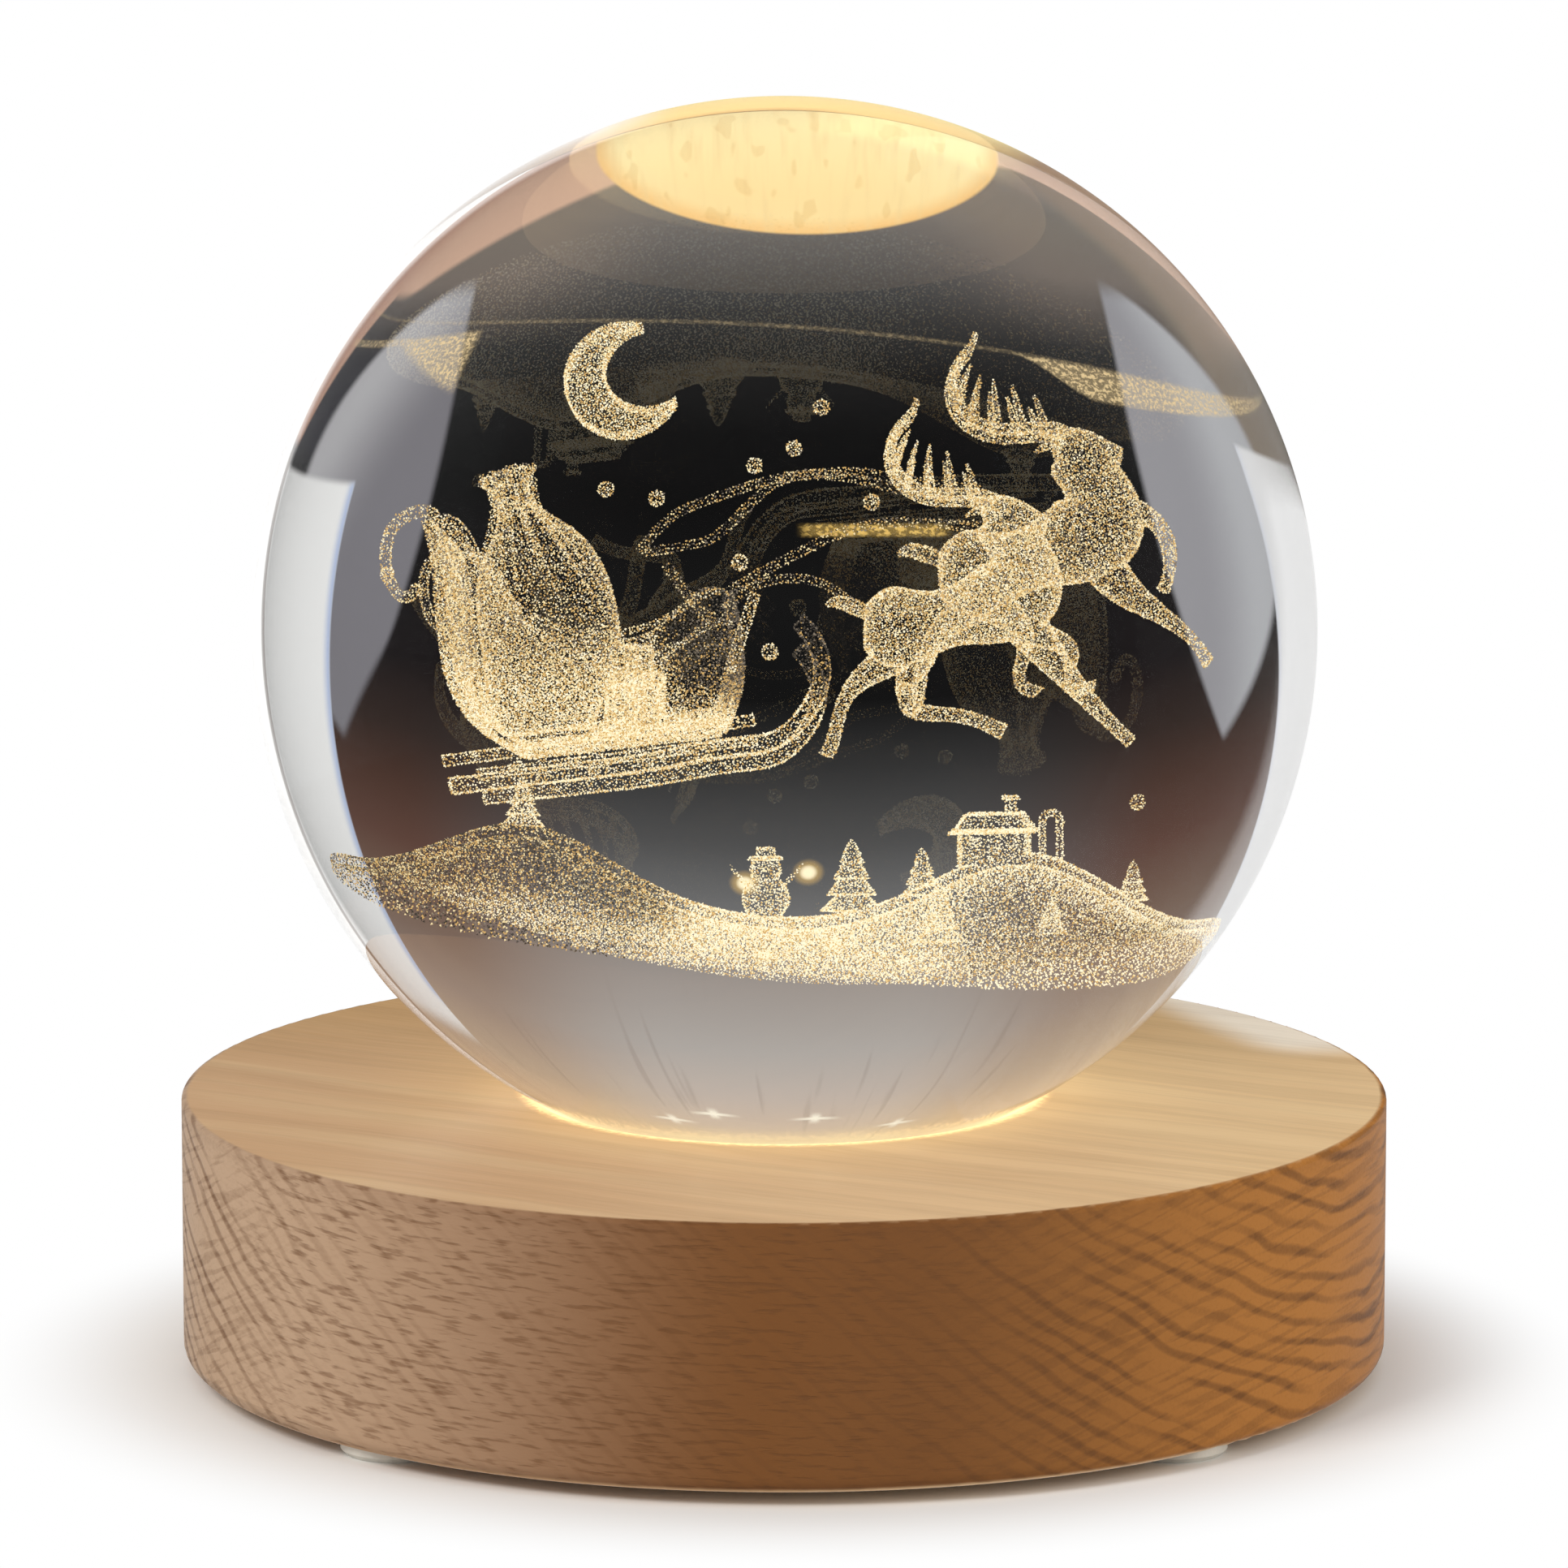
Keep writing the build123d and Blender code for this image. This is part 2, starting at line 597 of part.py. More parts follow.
def cover_screw(x, y):
    """Countersunk head flush with the cover."""
    neck = wood_bottom + COVER_SCREW_HEAD_H
    head = Cone(COVER_SCREW_HEAD_R, COVER_SCREW_SHANK_R, COVER_SCREW_HEAD_H)
    head = Pos(x, y, wood_bottom + COVER_SCREW_HEAD_H / 2) * head
    shank = disc(COVER_SCREW_SHANK_R, neck, wood_bottom + COVER_SCREW_LENGTH - SCREW_TIP_CLEAR, x, y)
    return head + shank - drive(COVER_SCREW_HEAD_R, wood_bottom, COVER_SCREW_HEAD_H, x, y)


def bottom_cover():
    """A flat disc let into the underside, with a stiffening rib inside."""
    cover = disc(COVER_R, wood_bottom, cover_top)
    rib = disc(cover_rib_r, cover_top, cover_rib_top)
    rib -= disc(cover_rib_r - COVER_RIB_W, cover_top - 1, cover_rib_top + 1)
    cover += rib
    for x, y in cover_screw_points:
        sink_r = COVER_SCREW_HEAD_R + SCREW_HOLE_CLEAR / 2
        hole_r = COVER_SCREW_SHANK_R + SCREW_HOLE_CLEAR / 2
        sink = Pos(x, y, wood_bottom + COVER_SCREW_HEAD_H / 2) * Cone(sink_r, hole_r, COVER_SCREW_HEAD_H)
        cover -= sink + disc(hole_r, wood_bottom, cover_top + 1, x, y)
    return cover


def foot_pad(x, y):
    pad = disc(PAD_R, 0, PAD_H, x, y)
    return chamfer(pad.edges().group_by(Axis.Z)[0], PAD_EDGE)


def rear_housing():
    """The face plate in the slot, and the tray behind it that carries the control board."""
    plate_w = SLOT_W - 2 * INSERT_CLEAR
    plate_h = SLOT_H - 2 * INSERT_CLEAR
    plate = RectangleRounded(plate_w, plate_h, PLATE_CORNER_R)
    housing = upright(plate, tray_start_y, plate_face_y, 0, slot_mid)
    behind_plate = (tray_start_y - 1, plate_back_y)
    slot_ceiling = slot_floor + SLOT_H
    board_w = CONTROL_W + 2 * INSERT_CLEAR
    housing -= block(around(0, plate_w + 1), behind_plate, (control_top, slot_ceiling))
    housing -= block(around(0, board_w), behind_plate, (control_bottom, slot_ceiling))
    housing -= button_relief(tray_bottom - 1)
    mouth_w = SOCKET_W + 2 * SOCKET_MOUTH_CLEAR
    mouth_h = SOCKET_H + 2 * SOCKET_MOUTH_CLEAR
    mouth = SlotOverall(mouth_w, mouth_h)
    housing -= upright(mouth, plate_back_y - 1, plate_face_y + 1, SOCKET_X, socket_mid)
    button_hole = Circle(BUTTON_R + BUTTON_HOLE_CLEAR)
    housing -= upright(button_hole, plate_back_y - 1, plate_face_y + 1, BUTTON_X, slot_mid)
    for x, y in control_screw_points:
        housing -= disc(CONTROL_SCREW_SHANK_R, tray_bottom - 1, control_bottom + 1, x, y)
    through = (tray_bottom - 1, control_bottom + 1)
    for x, y in leg_points:
        housing -= pin_hole(x, y, SOCKET_WALL, SOCKET_LEG_L, TRAY_HOLE_CLEAR, through)
    for x, y in terminal_points:
        housing -= pin_hole(x, y, TERMINAL_W, TERMINAL_T, TRAY_HOLE_CLEAR, through)
    return housing


def pin_hole(x, y, wide, deep, clear, level):
    """A rectangular hole that clears a pin all round."""
    return block(around(x, wide + 2 * clear), around(y, deep + 2 * clear), level)


def button_relief(bottom):
    """The notch under the button that its flange moves in."""
    width = 2 * (BUTTON_FLANGE_R + BUTTON_RELIEF)
    depth = (switch_front + SLIDE_CLEAR, plate_back_y)
    return block(around(BUTTON_X, width), depth, (bottom, control_top))


def control_board():
    board = block(around(0, CONTROL_W), (control_start_y, control_end_y), (control_bottom, control_top))
    board -= button_relief(control_bottom - 1)
    through = (control_bottom - 1, control_top + 1)
    for x, y in control_screw_points:
        board -= disc(CONTROL_SCREW_SHANK_R + PIN_HOLE_CLEAR, *through, x, y)
    for x, y in leg_points:
        board -= pin_hole(x, y, SOCKET_WALL, SOCKET_LEG_L, PIN_HOLE_CLEAR, through)
    for x, y in terminal_points:
        board -= pin_hole(x, y, TERMINAL_W, TERMINAL_T, PIN_HOLE_CLEAR, through)
    return board


def control_board_screw(x, y):
    top = control_top + CONTROL_SCREW_HEAD_H
    head = disc(CONTROL_SCREW_HEAD_R, control_top, top, x, y)
    head = chamfer(head.edges().group_by(Axis.Z)[-1], SCREW_EDGE)
    slot_z = (top - CONTROL_SCREW_SLOT, top + 1)
    slot = block(around(x, 2 * CONTROL_SCREW_HEAD_R), around(y, CONTROL_SCREW_SLOT), slot_z)
    return head + disc(CONTROL_SCREW_SHANK_R, tray_bottom, control_top, x, y) - slot


def control_chip():
    """A small chip with gull-wing leads on both sides."""
    level = (control_top + CHIP_LIFT, control_top + CHIP_H)
    body = block(around(CHIP_X, CHIP_L), around(chip_y, CHIP_W), level)
    body = chamfer(body.edges().group_by(Axis.Z)[-1], CHIP_EDGE)
    shoulder_z = (control_top + CHIP_LEAD_Z, control_top + CHIP_LEAD_Z + CHIP_LEAD_T)
    shin_z = (control_top, control_top + CHIP_LEAD_Z + CHIP_LEAD_T)
    foot_z = (control_top, control_top + CHIP_LEAD_T)
    for side in (-1, 1):
        root = chip_y + side * (CHIP_W / 2 - CHIP_EDGE)
        knee = chip_y + side * (CHIP_W + CHIP_LEAD_REACH) / 2
        shin = knee - side * CHIP_LEAD_T
        tip = chip_y + side * (CHIP_W / 2 + CHIP_LEAD_REACH)
        for i in range(CHIP_LEAD_COUNT):
            x = CHIP_X + (i - (CHIP_LEAD_COUNT - 1) / 2) * CHIP_LEAD_PITCH
            wide = around(x, CHIP_LEAD_W)
            body += block(wide, sorted((root, knee)), shoulder_z)
            body += block(wide, sorted((shin, knee)), shin_z)
            body += block(wide, sorted((shin, tip)), foot_z)
    return body


def control_capacitor(index):
    x = CAPACITOR_X + (index - 0.5) * CAPACITOR_PITCH
    can = disc(CAPACITOR_R, control_top, control_top + CAPACITOR_H, x, capacitor_y)
    return chamfer(can.edges().group_by(Axis.Z)[-1], CAPACITOR_EDGE)


def socket_shell():
    """A folded metal sleeve with full-round sides and four legs through the board."""
    outer = SlotOverall(SOCKET_W, SOCKET_H)
    inner = SlotOverall(SOCKET_W - 2 * SOCKET_WALL, SOCKET_H - 2 * SOCKET_WALL)
    shell = upright(outer - inner, socket_back, socket_front, SOCKET_X, socket_mid)
    for x, y in leg_points:
        shell += block(around(x, SOCKET_WALL), around(y, SOCKET_LEG_L), (control_bottom, socket_mid))
    return shell


def socket_tongue():
    """The insulating block at the back of the sleeve, with the tongue that carries the contacts."""
    fill = SlotOverall(SOCKET_W - 2 * SOCKET_WALL, SOCKET_H - 2 * SOCKET_WALL)
    back = upright(fill, socket_back, socket_back + SOCKET_BLOCK, SOCKET_X, socket_mid)
    blade = block(
        around(SOCKET_X, TONGUE_W),
        (socket_back + SOCKET_BLOCK, socket_front - TONGUE_SET_BACK),
        around(socket_mid, TONGUE_T),
    )
    blade = chamfer(blade.edges().group_by(Axis.Y)[-1], TONGUE_EDGE)
    return back + blade


def socket_contacts():
    pads = []
    start = socket_back + SOCKET_BLOCK
    for side in (-1, 1):
        face = socket_mid + side * TONGUE_T / 2
        level = sorted((face, face + side * CONTACT_T))
        for i in range(CONTACT_COUNT):
            x = SOCKET_X + (i - (CONTACT_COUNT - 1) / 2) * CONTACT_PITCH
            pads.append(block(around(x, CONTACT_W), (start, start + CONTACT_L), level))
    return group(pads)


def switch_body():
    """A small box, hollow for the spring and the plunger's head."""
    body = block(around(BUTTON_X, SWITCH_W), (switch_back, switch_front), around(slot_mid, switch_h))
    cavity_w = PLUNGER_HEAD_W + 2 * SLIDE_CLEAR
    cavity_h = PLUNGER_HEAD_H + 2 * SLIDE_CLEAR
    cavity = (switch_back + SWITCH_WALL, switch_front - SWITCH_WALL)
    body -= block(around(BUTTON_X, cavity_w), cavity, around(slot_mid, cavity_h))
    neck_w = PLUNGER_W + 2 * SLIDE_CLEAR
    neck_h = STEM_H + 2 * SLIDE_CLEAR
    body -= block(around(BUTTON_X, neck_w), (cavity[0], switch_front + 1), around(slot_mid, neck_h))
    return body


def switch_plunger():
    head = block(around(BUTTON_X, PLUNGER_HEAD_W), (head_back, head_front), around(slot_mid, PLUNGER_HEAD_H))
    stem = block(around(BUTTON_X, PLUNGER_W), (head_front, stem_end), around(slot_mid, STEM_H))
    return head + stem


def button_cap():
    """A round cap with a finger dish, a flange that keeps it in, and a socket for the plunger."""
    cap = upright(Circle(BUTTON_R), flange_back, cap_face_y, BUTTON_X, slot_mid)
    cap = fillet(cap.edges().group_by(Axis.Y)[-1], BUTTON_EDGE_R)
    cap += upright(Circle(BUTTON_FLANGE_R), flange_back, flange_front, BUTTON_X, slot_mid)
    cap -= Pos(BUTTON_X, cap_face_y - BUTTON_DISH + BUTTON_DISH_R, slot_mid) * Sphere(BUTTON_DISH_R)
    return cap - block(around(BUTTON_X, PLUNGER_W), (flange_back - 1, stem_end), around(slot_mid, STEM_H))


def switch_spring():
    """A compression spring between the switch's back wall and the plunger's head."""
    end_gap = SPRING_WIRE_R + SPRING_END_GAP
    start = switch_back + SWITCH_WALL + end_gap
    length = head_back - end_gap - start
    path = Helix(length / SPRING_TURNS, length, SPRING_R)
    section = Plane(path @ 0, z_dir=path % 0) * RegularPolygon(SPRING_WIRE_R, 6)
    wire = sweep(section, path=path, is_frenet=True)
    turned = Plane(origin=(BUTTON_X, start, slot_mid), x_dir=(1, 0, 0), z_dir=(0, 1, 0))
    return turned * wire


def switch_terminals():
    pins = []
    for x, y in terminal_points:
        pins.append(block(around(x, TERMINAL_W), around(y, TERMINAL_T), (control_bottom, control_top)))
    return group(pins)


def header(x, mouth_y, z, towards):
    """A two-pole plug housing: the wires enter its mouth, which has a shallow recess for each."""
    far = mouth_y - towards * HEADER_L
    housing = block(around(x, HEADER_W), sorted((mouth_y, far)), around(z, HEADER_H))
    for side in (-0.5, 0.5):
        recess = sorted((mouth_y + towards, mouth_y - towards * HEADER_WALL))
        housing -= upright(Circle(WIRE_R), recess[0], recess[1], x + side * WIRE_PITCH, z)
    return housing


def wire(side):
    """A short lead from one header to the other, with an easy bend at each end."""
    x_from = side * WIRE_PITCH / 2
    x_to = CONTROL_HEADER_X + side * WIRE_PITCH / 2
    y_from = LAMP_HEADER_Y - HEADER_WALL
    y_to = control_header_y + HEADER_WALL
    points = [
        (x_from, y_from, lamp_header_z),
        (x_from, y_from + WIRE_EXIT, lamp_header_z),
        (x_to, y_to - WIRE_EXIT, control_header_z),
        (x_to, y_to, control_header_z),
    ]
    sideways = math.hypot(x_to - x_from, control_header_z - lamp_header_z)
    turn = math.atan(sideways / (y_to - y_from - 2 * WIRE_EXIT))
    bend = WIRE_BEND_SHARE * WIRE_EXIT / math.tan(turn / 2)
    path = FilletPolyline(*points, radius=bend)
    return sweep(Plane(origin=points[0], z_dir=(0, 1, 0)) * Circle(WIRE_R), path=path)


os.makedirs("parts", exist_ok=True)

engraving = {
    "engraved_landscape": in_ball([landscape()]),
    "engraved_moon": in_ball([crescent_moon()]),
    "engraved_snow": in_ball(snowfall()),
    "engraved_sleigh": in_ball([sleigh()]),
    "engraved_stags": in_ball(stags()),
}
write("crystal_ball", crystal_ball(engraving.values()))
for name, forms in engraving.items():
    write(name, group(forms))
write("wood_base", wood_base())
write("light_window", light_window())
write("reflector", reflector())
write("led_board", led_board())
write("led_packages", group(led_package(x, y) for x, y in lamp_points))
write("led_phosphors", group(led_phosphor(x, y) for x, y in lamp_points))
write("led_resistors", group(led_resistor(i) for i in range(RESISTOR_COUNT)))
write("led_board_screws", group(lamp_board_screw(x, y) for x, y in lamp_screw_points))
write("led_header", header(0, LAMP_HEADER_Y, lamp_header_z, 1))
write("wire_red", wire(-1))
write("wire_black", wire(1))
write("bottom_cover", bottom_cover())
write("cover_screws", group(cover_screw(x, y) for x, y in cover_screw_points))
write("foot_pads", group(foot_pad(x, y) for x, y in pad_points))
write("rear_housing", rear_housing())
write("control_board", control_board())
write("control_board_screws", group(control_board_screw(x, y) for x, y in control_screw_points))
write("control_chip", control_chip())
write("control_capacitors", group(control_capacitor(i) for i in range(2)))
write("control_header", header(CONTROL_HEADER_X, control_header_y, control_header_z, -1))
write("socket_shell", socket_shell())
write("socket_tongue", socket_tongue())
write("socket_contacts", socket_contacts())
write("switch_body", switch_body())
write("switch_plunger", switch_plunger())
write("switch_spring", switch_spring())
write("switch_terminals", switch_terminals())
write("button_cap", button_cap())
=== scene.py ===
import math

import bmesh
import bpy
import numpy as np
from bpy.props import FloatProperty, FloatVectorProperty, PointerProperty
from bpy.types import Operator, Panel, PropertyGroup
from mathutils import Matrix, Vector


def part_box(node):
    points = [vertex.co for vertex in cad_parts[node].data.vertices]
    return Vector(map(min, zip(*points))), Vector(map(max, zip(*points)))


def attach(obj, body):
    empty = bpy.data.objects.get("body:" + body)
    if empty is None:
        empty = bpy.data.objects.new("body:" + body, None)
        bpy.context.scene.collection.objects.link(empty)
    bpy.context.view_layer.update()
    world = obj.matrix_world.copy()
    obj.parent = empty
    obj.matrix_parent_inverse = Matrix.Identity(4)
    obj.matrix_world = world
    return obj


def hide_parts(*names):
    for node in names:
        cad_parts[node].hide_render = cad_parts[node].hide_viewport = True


bl_info = {
    "name": "Crystal ball night light",
    "version": (1, 0, 0),
    "blender": (4, 5, 0),
    "location": "3D View > Sidebar > Night light",
    "description": "Dresses a night light: a glass ball with an engraved winter scene on a lit beech base",
    "category": "Object",
}

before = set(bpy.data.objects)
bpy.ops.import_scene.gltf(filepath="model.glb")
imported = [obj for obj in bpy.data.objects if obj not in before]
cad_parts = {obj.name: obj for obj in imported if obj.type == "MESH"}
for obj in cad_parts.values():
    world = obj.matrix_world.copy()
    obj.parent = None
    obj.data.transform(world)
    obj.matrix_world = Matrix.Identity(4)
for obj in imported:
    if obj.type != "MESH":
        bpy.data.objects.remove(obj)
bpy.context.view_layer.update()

MM = 0.001
ball_low, ball_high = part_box("crystal_ball")
_, wood_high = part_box("wood_base")
BALL_R = (ball_high[2] - ball_low[2]) / 2
BALL_CENTRE = Vector((0, 0, ball_high[2] - BALL_R))
WOOD_R = wood_high[0] / MM
WOOD_TOP = wood_high[2] / MM

# The camera's angle above the horizon in degrees, and the level and upright shares of its line of sight
VIEW_ELEVATION = 10.2
AXIS_Y = math.cos(math.radians(VIEW_ELEVATION))
AXIS_Z = math.sin(math.radians(VIEW_ELEVATION))


# Colours
def rgb(colour):
    """A colour written as rrggbb, or as a grey from 0 to 255, as the linear numbers that a shader takes."""
    if isinstance(colour, int):
        colour = f"{colour:02x}" * 3
    if not isinstance(colour, str):
        return tuple(colour[:3])
    shares = [int(colour[i:i + 2], 16) / 255 for i in (0, 2, 4)]
    return tuple(c / 12.92 if c <= 0.04045 else ((c + 0.055) / 1.055) ** 2.4 for c in shares)


def scaled(colour, factor):
    return tuple(c * factor for c in rgb(colour))


# Objects
def mesh_of(name, bm):
    """A mesh with what the bmesh holds, which is then freed."""
    mesh = bpy.data.meshes.new(name)
    bm.to_mesh(mesh)
    bm.free()
    return mesh


def shown(name, data):
    """A new object in the scene that shows the data."""
    made = bpy.data.objects.new(name, data)
    bpy.context.scene.collection.objects.link(made)
    return made


# Settings
def colour_setting(name, text, about):
    return FloatVectorProperty(
        name=name, description=about, subtype="COLOR", size=3, min=0, max=1, default=rgb(text)
    )


def length_setting(name, value, about):
    return FloatProperty(name=name, description=about, unit="LENGTH", min=0, default=value * MM, precision=5)


def number_setting(name, value, about):
    return FloatProperty(name=name, description=about, min=0, default=value)


class NightLightWood(PropertyGroup):
    top: colour_setting("Top", "e8c394", "Beech on the flat top")
    left_top: colour_setting("Left of the top", "cba078", "Beech at the left of the flat top")
    back_top: colour_setting("Back of the top", "bf925c", "Beech at the back of the flat top")
    # The rim's colours also hold painted shade: paler at the left, where light falls, and darker at the front
    pale_side: colour_setting("Pale side", "c5a689", "Beech at the left of the rim")
    dark_side: colour_setting("Dark side", "7c4e24", "Beech at the front of the rim")
    amber_side: colour_setting("Amber side", "bf7e38", "Beech at the right of the rim")
    pore: colour_setting("Pores", "6b4423", "Rays and pores in the beech")
    # The glow is lamp light painted on the wood as emission
    glow: colour_setting("Glow", "ffcf7a", "Lamp light on the wood round the ball")
    glow_strength: number_setting("Glow strength", 1.0, "Brightness of the lit ring round the ball")


class NightLightGlass(PropertyGroup):
    ior: FloatProperty(
        name="Refraction", description="Index of refraction of the ball", min=1, max=2.5, default=1.52
    )


class NightLightEngraving(PropertyGroup):
    # The cracks' colours are painted lamp light, which they give off as emission
    bright: colour_setting("Bright", "fff3d2", "Brightest cracks")
    cream: colour_setting("Cream", "f0dca8", "Most cracks of the upper forms")
    gold: colour_setting("Gold", "cfa865", "Cracks near the lamps")
    dim: colour_setting("Dim", "7a6f61", "Faint cracks")
    dark: colour_setting("Dark", "37322b", "Cracks that hardly catch the light")
    strength: number_setting("Brightness", 1.0, "How brightly the cracks are lit")
    crack: length_setting("Crack", 0.10, "Size of one crack")


class NightLightLamps(PropertyGroup):
    phosphor: colour_setting("Phosphor", "ffd27a", "Light of the lamps")
    strength: number_setting("Strength", 9.0, "Brightness of the lamps")


class NightLightParts(PropertyGroup):
    plastic: colour_setting("Plastic", "1d1c1b", "Insert, cover and switch")
    rubber: colour_setting("Rubber", "dedad0", "Foot pads")
    steel: colour_setting("Steel", "b4b6b8", "Screws, socket and spring")
    gold: colour_setting("Contact", "d8a83f", "Plated contacts")
    board: colour_setting("Board", "e9eae6", "Lamp board")
    control: colour_setting("Control board", "1c5a38", "Control board")
    white: colour_setting("White", "efece4", "Reflector and plugs")
    red: colour_setting("Red", "b01d16", "Positive lead")


class NightLightStage(PropertyGroup):
    floor: colour_setting("Floor", "f4f3f1", "Studio floor")
    key: number_setting("Key", 8.0, "Power of the main light, in watts")
    fill: number_setting("Fill", 2.4, "Power of the side light, in watts")
    ambient: number_setting("Ambient", 0.62, "Level of the studio's own light")
    target: length_setting("Aim height", 51.0, "Height that the camera aims at")
    distance: length_setting("Distance", 800.0, "Camera distance")
    elevation: FloatProperty(
        name="Elevation", description="Camera angle above the horizon", unit="ROTATION",
        default=math.radians(VIEW_ELEVATION),
    )
    lens: number_setting("Lens", 244.5, "Focal length in millimetres, on a sensor 36 wide")
    shift: FloatProperty(name="Shift", description="Vertical shift of the picture", default=-0.0549)


class NightLightSettings(PropertyGroup):
    wood: PointerProperty(type=NightLightWood, name="Wood", description="Finish of the base")
    glass: PointerProperty(type=NightLightGlass, name="Glass", description="The ball")
    engraving: PointerProperty(type=NightLightEngraving, name="Engraving", description="Cracks in the ball")
    lamps: PointerProperty(type=NightLightLamps, name="Lamps", description="The lamps under the ball")
    parts: PointerProperty(type=NightLightParts, name="Parts", description="Finishes of the small parts")
    stage: PointerProperty(type=NightLightStage, name="Stage", description="Floor, lights and camera")


# Shader maths
class Signal:
    """One socket of a node tree. Arithmetic on it adds Math nodes to the tree."""

    def __init__(self, graph, socket):
        self.graph = graph
        self.socket = socket

    def math(self, operation, *others):
        return self.graph.add("ShaderNodeMath", {"operation": operation}, dict(enumerate((self, *others))))

    def after(self, operation, first):
        """An operation that has this signal as its second value."""
        return self.graph.add("ShaderNodeMath", {"operation": operation}, {0: first, 1: self})

    def __add__(self, other):
        return self.math("ADD", other)

    def __sub__(self, other):
        return self.math("SUBTRACT", other)

    def __rsub__(self, other):
        return self.after("SUBTRACT", other)

    def __neg__(self):
        return 0 - self

    def __mul__(self, other):
        return self.math("MULTIPLY", other)

    def __truediv__(self, other):
        return self.math("DIVIDE", other)

    def __rtruediv__(self, other):
        return self.after("DIVIDE", other)

    def __abs__(self):
        return self.math("ABSOLUTE")

    __radd__ = __add__
    __rmul__ = __mul__

    def least(self, other):
        return self.math("MINIMUM", other)

    def most(self, other):
        return self.math("MAXIMUM", other)

    def rise(self, low, high, bottom=0.0, top=1.0):
        """bottom below low, top above high, and a smooth slope between them."""
        settings = {"interpolation_type": "SMOOTHSTEP"}
        return self.graph.add("ShaderNodeMapRange", settings, {0: self, 1: low, 2: high, 3: bottom, 4: top})

    def fall(self, low, high):
        """1 below low, 0 above high, and a smooth slope between them."""
        return self.rise(low, high, 1, 0)

    def within(self, low, high, soft):
        """1 between low and high and 0 outside, with edges that are soft wide."""
        start = (self - low).rise(-soft / 2, soft / 2)
        end = (high - self).rise(-soft / 2, soft / 2)
        return start * end


class Graph:
    """A node tree, with one method for each kind of thing that is added to it."""

    def __init__(self, tree):
        self.tree = tree

    def add(self, kind, settings=None, inputs=None, output=0):
        """Adds a node: its settings first, then the values or links of its sockets."""
        node = self.tree.nodes.new(kind)
        for name, value in (settings or {}).items():
            if name == "stops":
                self.set_stops(node.color_ramp, value)
            else:
                setattr(node, name, value)
        for name, value in (inputs or {}).items():
            socket = node.inputs[name]
            if isinstance(value, Signal):
                self.tree.links.new(value.socket, socket)
            elif socket.type == "RGBA":
                socket.default_value = (*rgb(value), 1)
            else:
                socket.default_value = value
        return Signal(self, node.outputs[output]) if node.outputs else None

    def set_stops(self, ramp, stops):
        while len(ramp.elements) < len(stops):
            ramp.elements.new(0.5)
        for element, (position, colour) in zip(ramp.elements, stops):
            element.position = position
            element.color = (*rgb(colour), 1)

    def split(self, vector):
        node = self.tree.nodes.new("ShaderNodeSeparateXYZ")
        self.tree.links.new(vector.socket, node.inputs[0])
        return [Signal(self, socket) for socket in node.outputs]

    def join(self, x, y, z):
        return self.add("ShaderNodeCombineXYZ", {}, {0: x, 1: y, 2: z})

    def noise(self, x, y, z, detail=2.0, roughness=0.5):
        """Noise from 0 to 1, with one wave to each unit of x, y and z."""
        inputs = {"Vector": self.join(x, y, z), "Scale": 1.0, "Detail": detail, "Roughness": roughness}
        return self.add("ShaderNodeTexNoise", {"noise_dimensions": "3D"}, inputs)

    def mix(self, share, first, second):
        """A colour between two: the first at 0 and the second at 1."""
        return self.add("ShaderNodeMix", {"data_type": "RGBA"}, {0: share, 6: first, 7: second}, 2)

    def ramp(self, value, low, high, stops):
        """A colour by value, from stops written at real values between low and high."""
        placed = [((at - low) / (high - low), colour) for at, colour in stops]
        share = (value - low) / (high - low)
        return self.add("ShaderNodeValToRGB", {"stops": placed}, {0: share})

    def ray(self, kind):
        return self.add("ShaderNodeLightPath", output=f"Is {kind} Ray")

    def bump(self, height, depth, strength):
        inputs = {"Height": height, "Distance": depth * MM, "Strength": strength}
        return self.add("ShaderNodeBump", {}, inputs)


def distance(x, y):
    """Distance from where both values are 0."""
    return (x * x + y * y).math("SQRT")


def new_material(name):
    """A material with an empty tree, its graph and the three Object coordinates in millimetres."""
    made = bpy.data.materials.new(name)
    made.use_nodes = True
    made.node_tree.nodes.clear()
    made.cycles.emission_sampling = "NONE"
    graph = Graph(made.node_tree)
    place = graph.split(graph.add("ShaderNodeTexCoord", output="Object"))
    return made, graph, [c * (1 / MM) for c in place]


def coat(graph, **sockets):
    """Ends a tree with a Principled shader; an underscore in a socket's name stands for a space."""
    inputs = {name.replace("_", " "): value for name, value in sockets.items()}
    shader = graph.add("ShaderNodeBsdfPrincipled", {}, inputs)
    graph.add("ShaderNodeOutputMaterial", {}, {"Surface": shader})


def dress(material, node):
    """Gives every material slot of a CAD node the material."""
    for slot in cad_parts[node].material_slots:
        slot.material = material


# Wood, whose fibres run 30 degrees off X
COS_30, SIN_30 = 0.866, 0.5


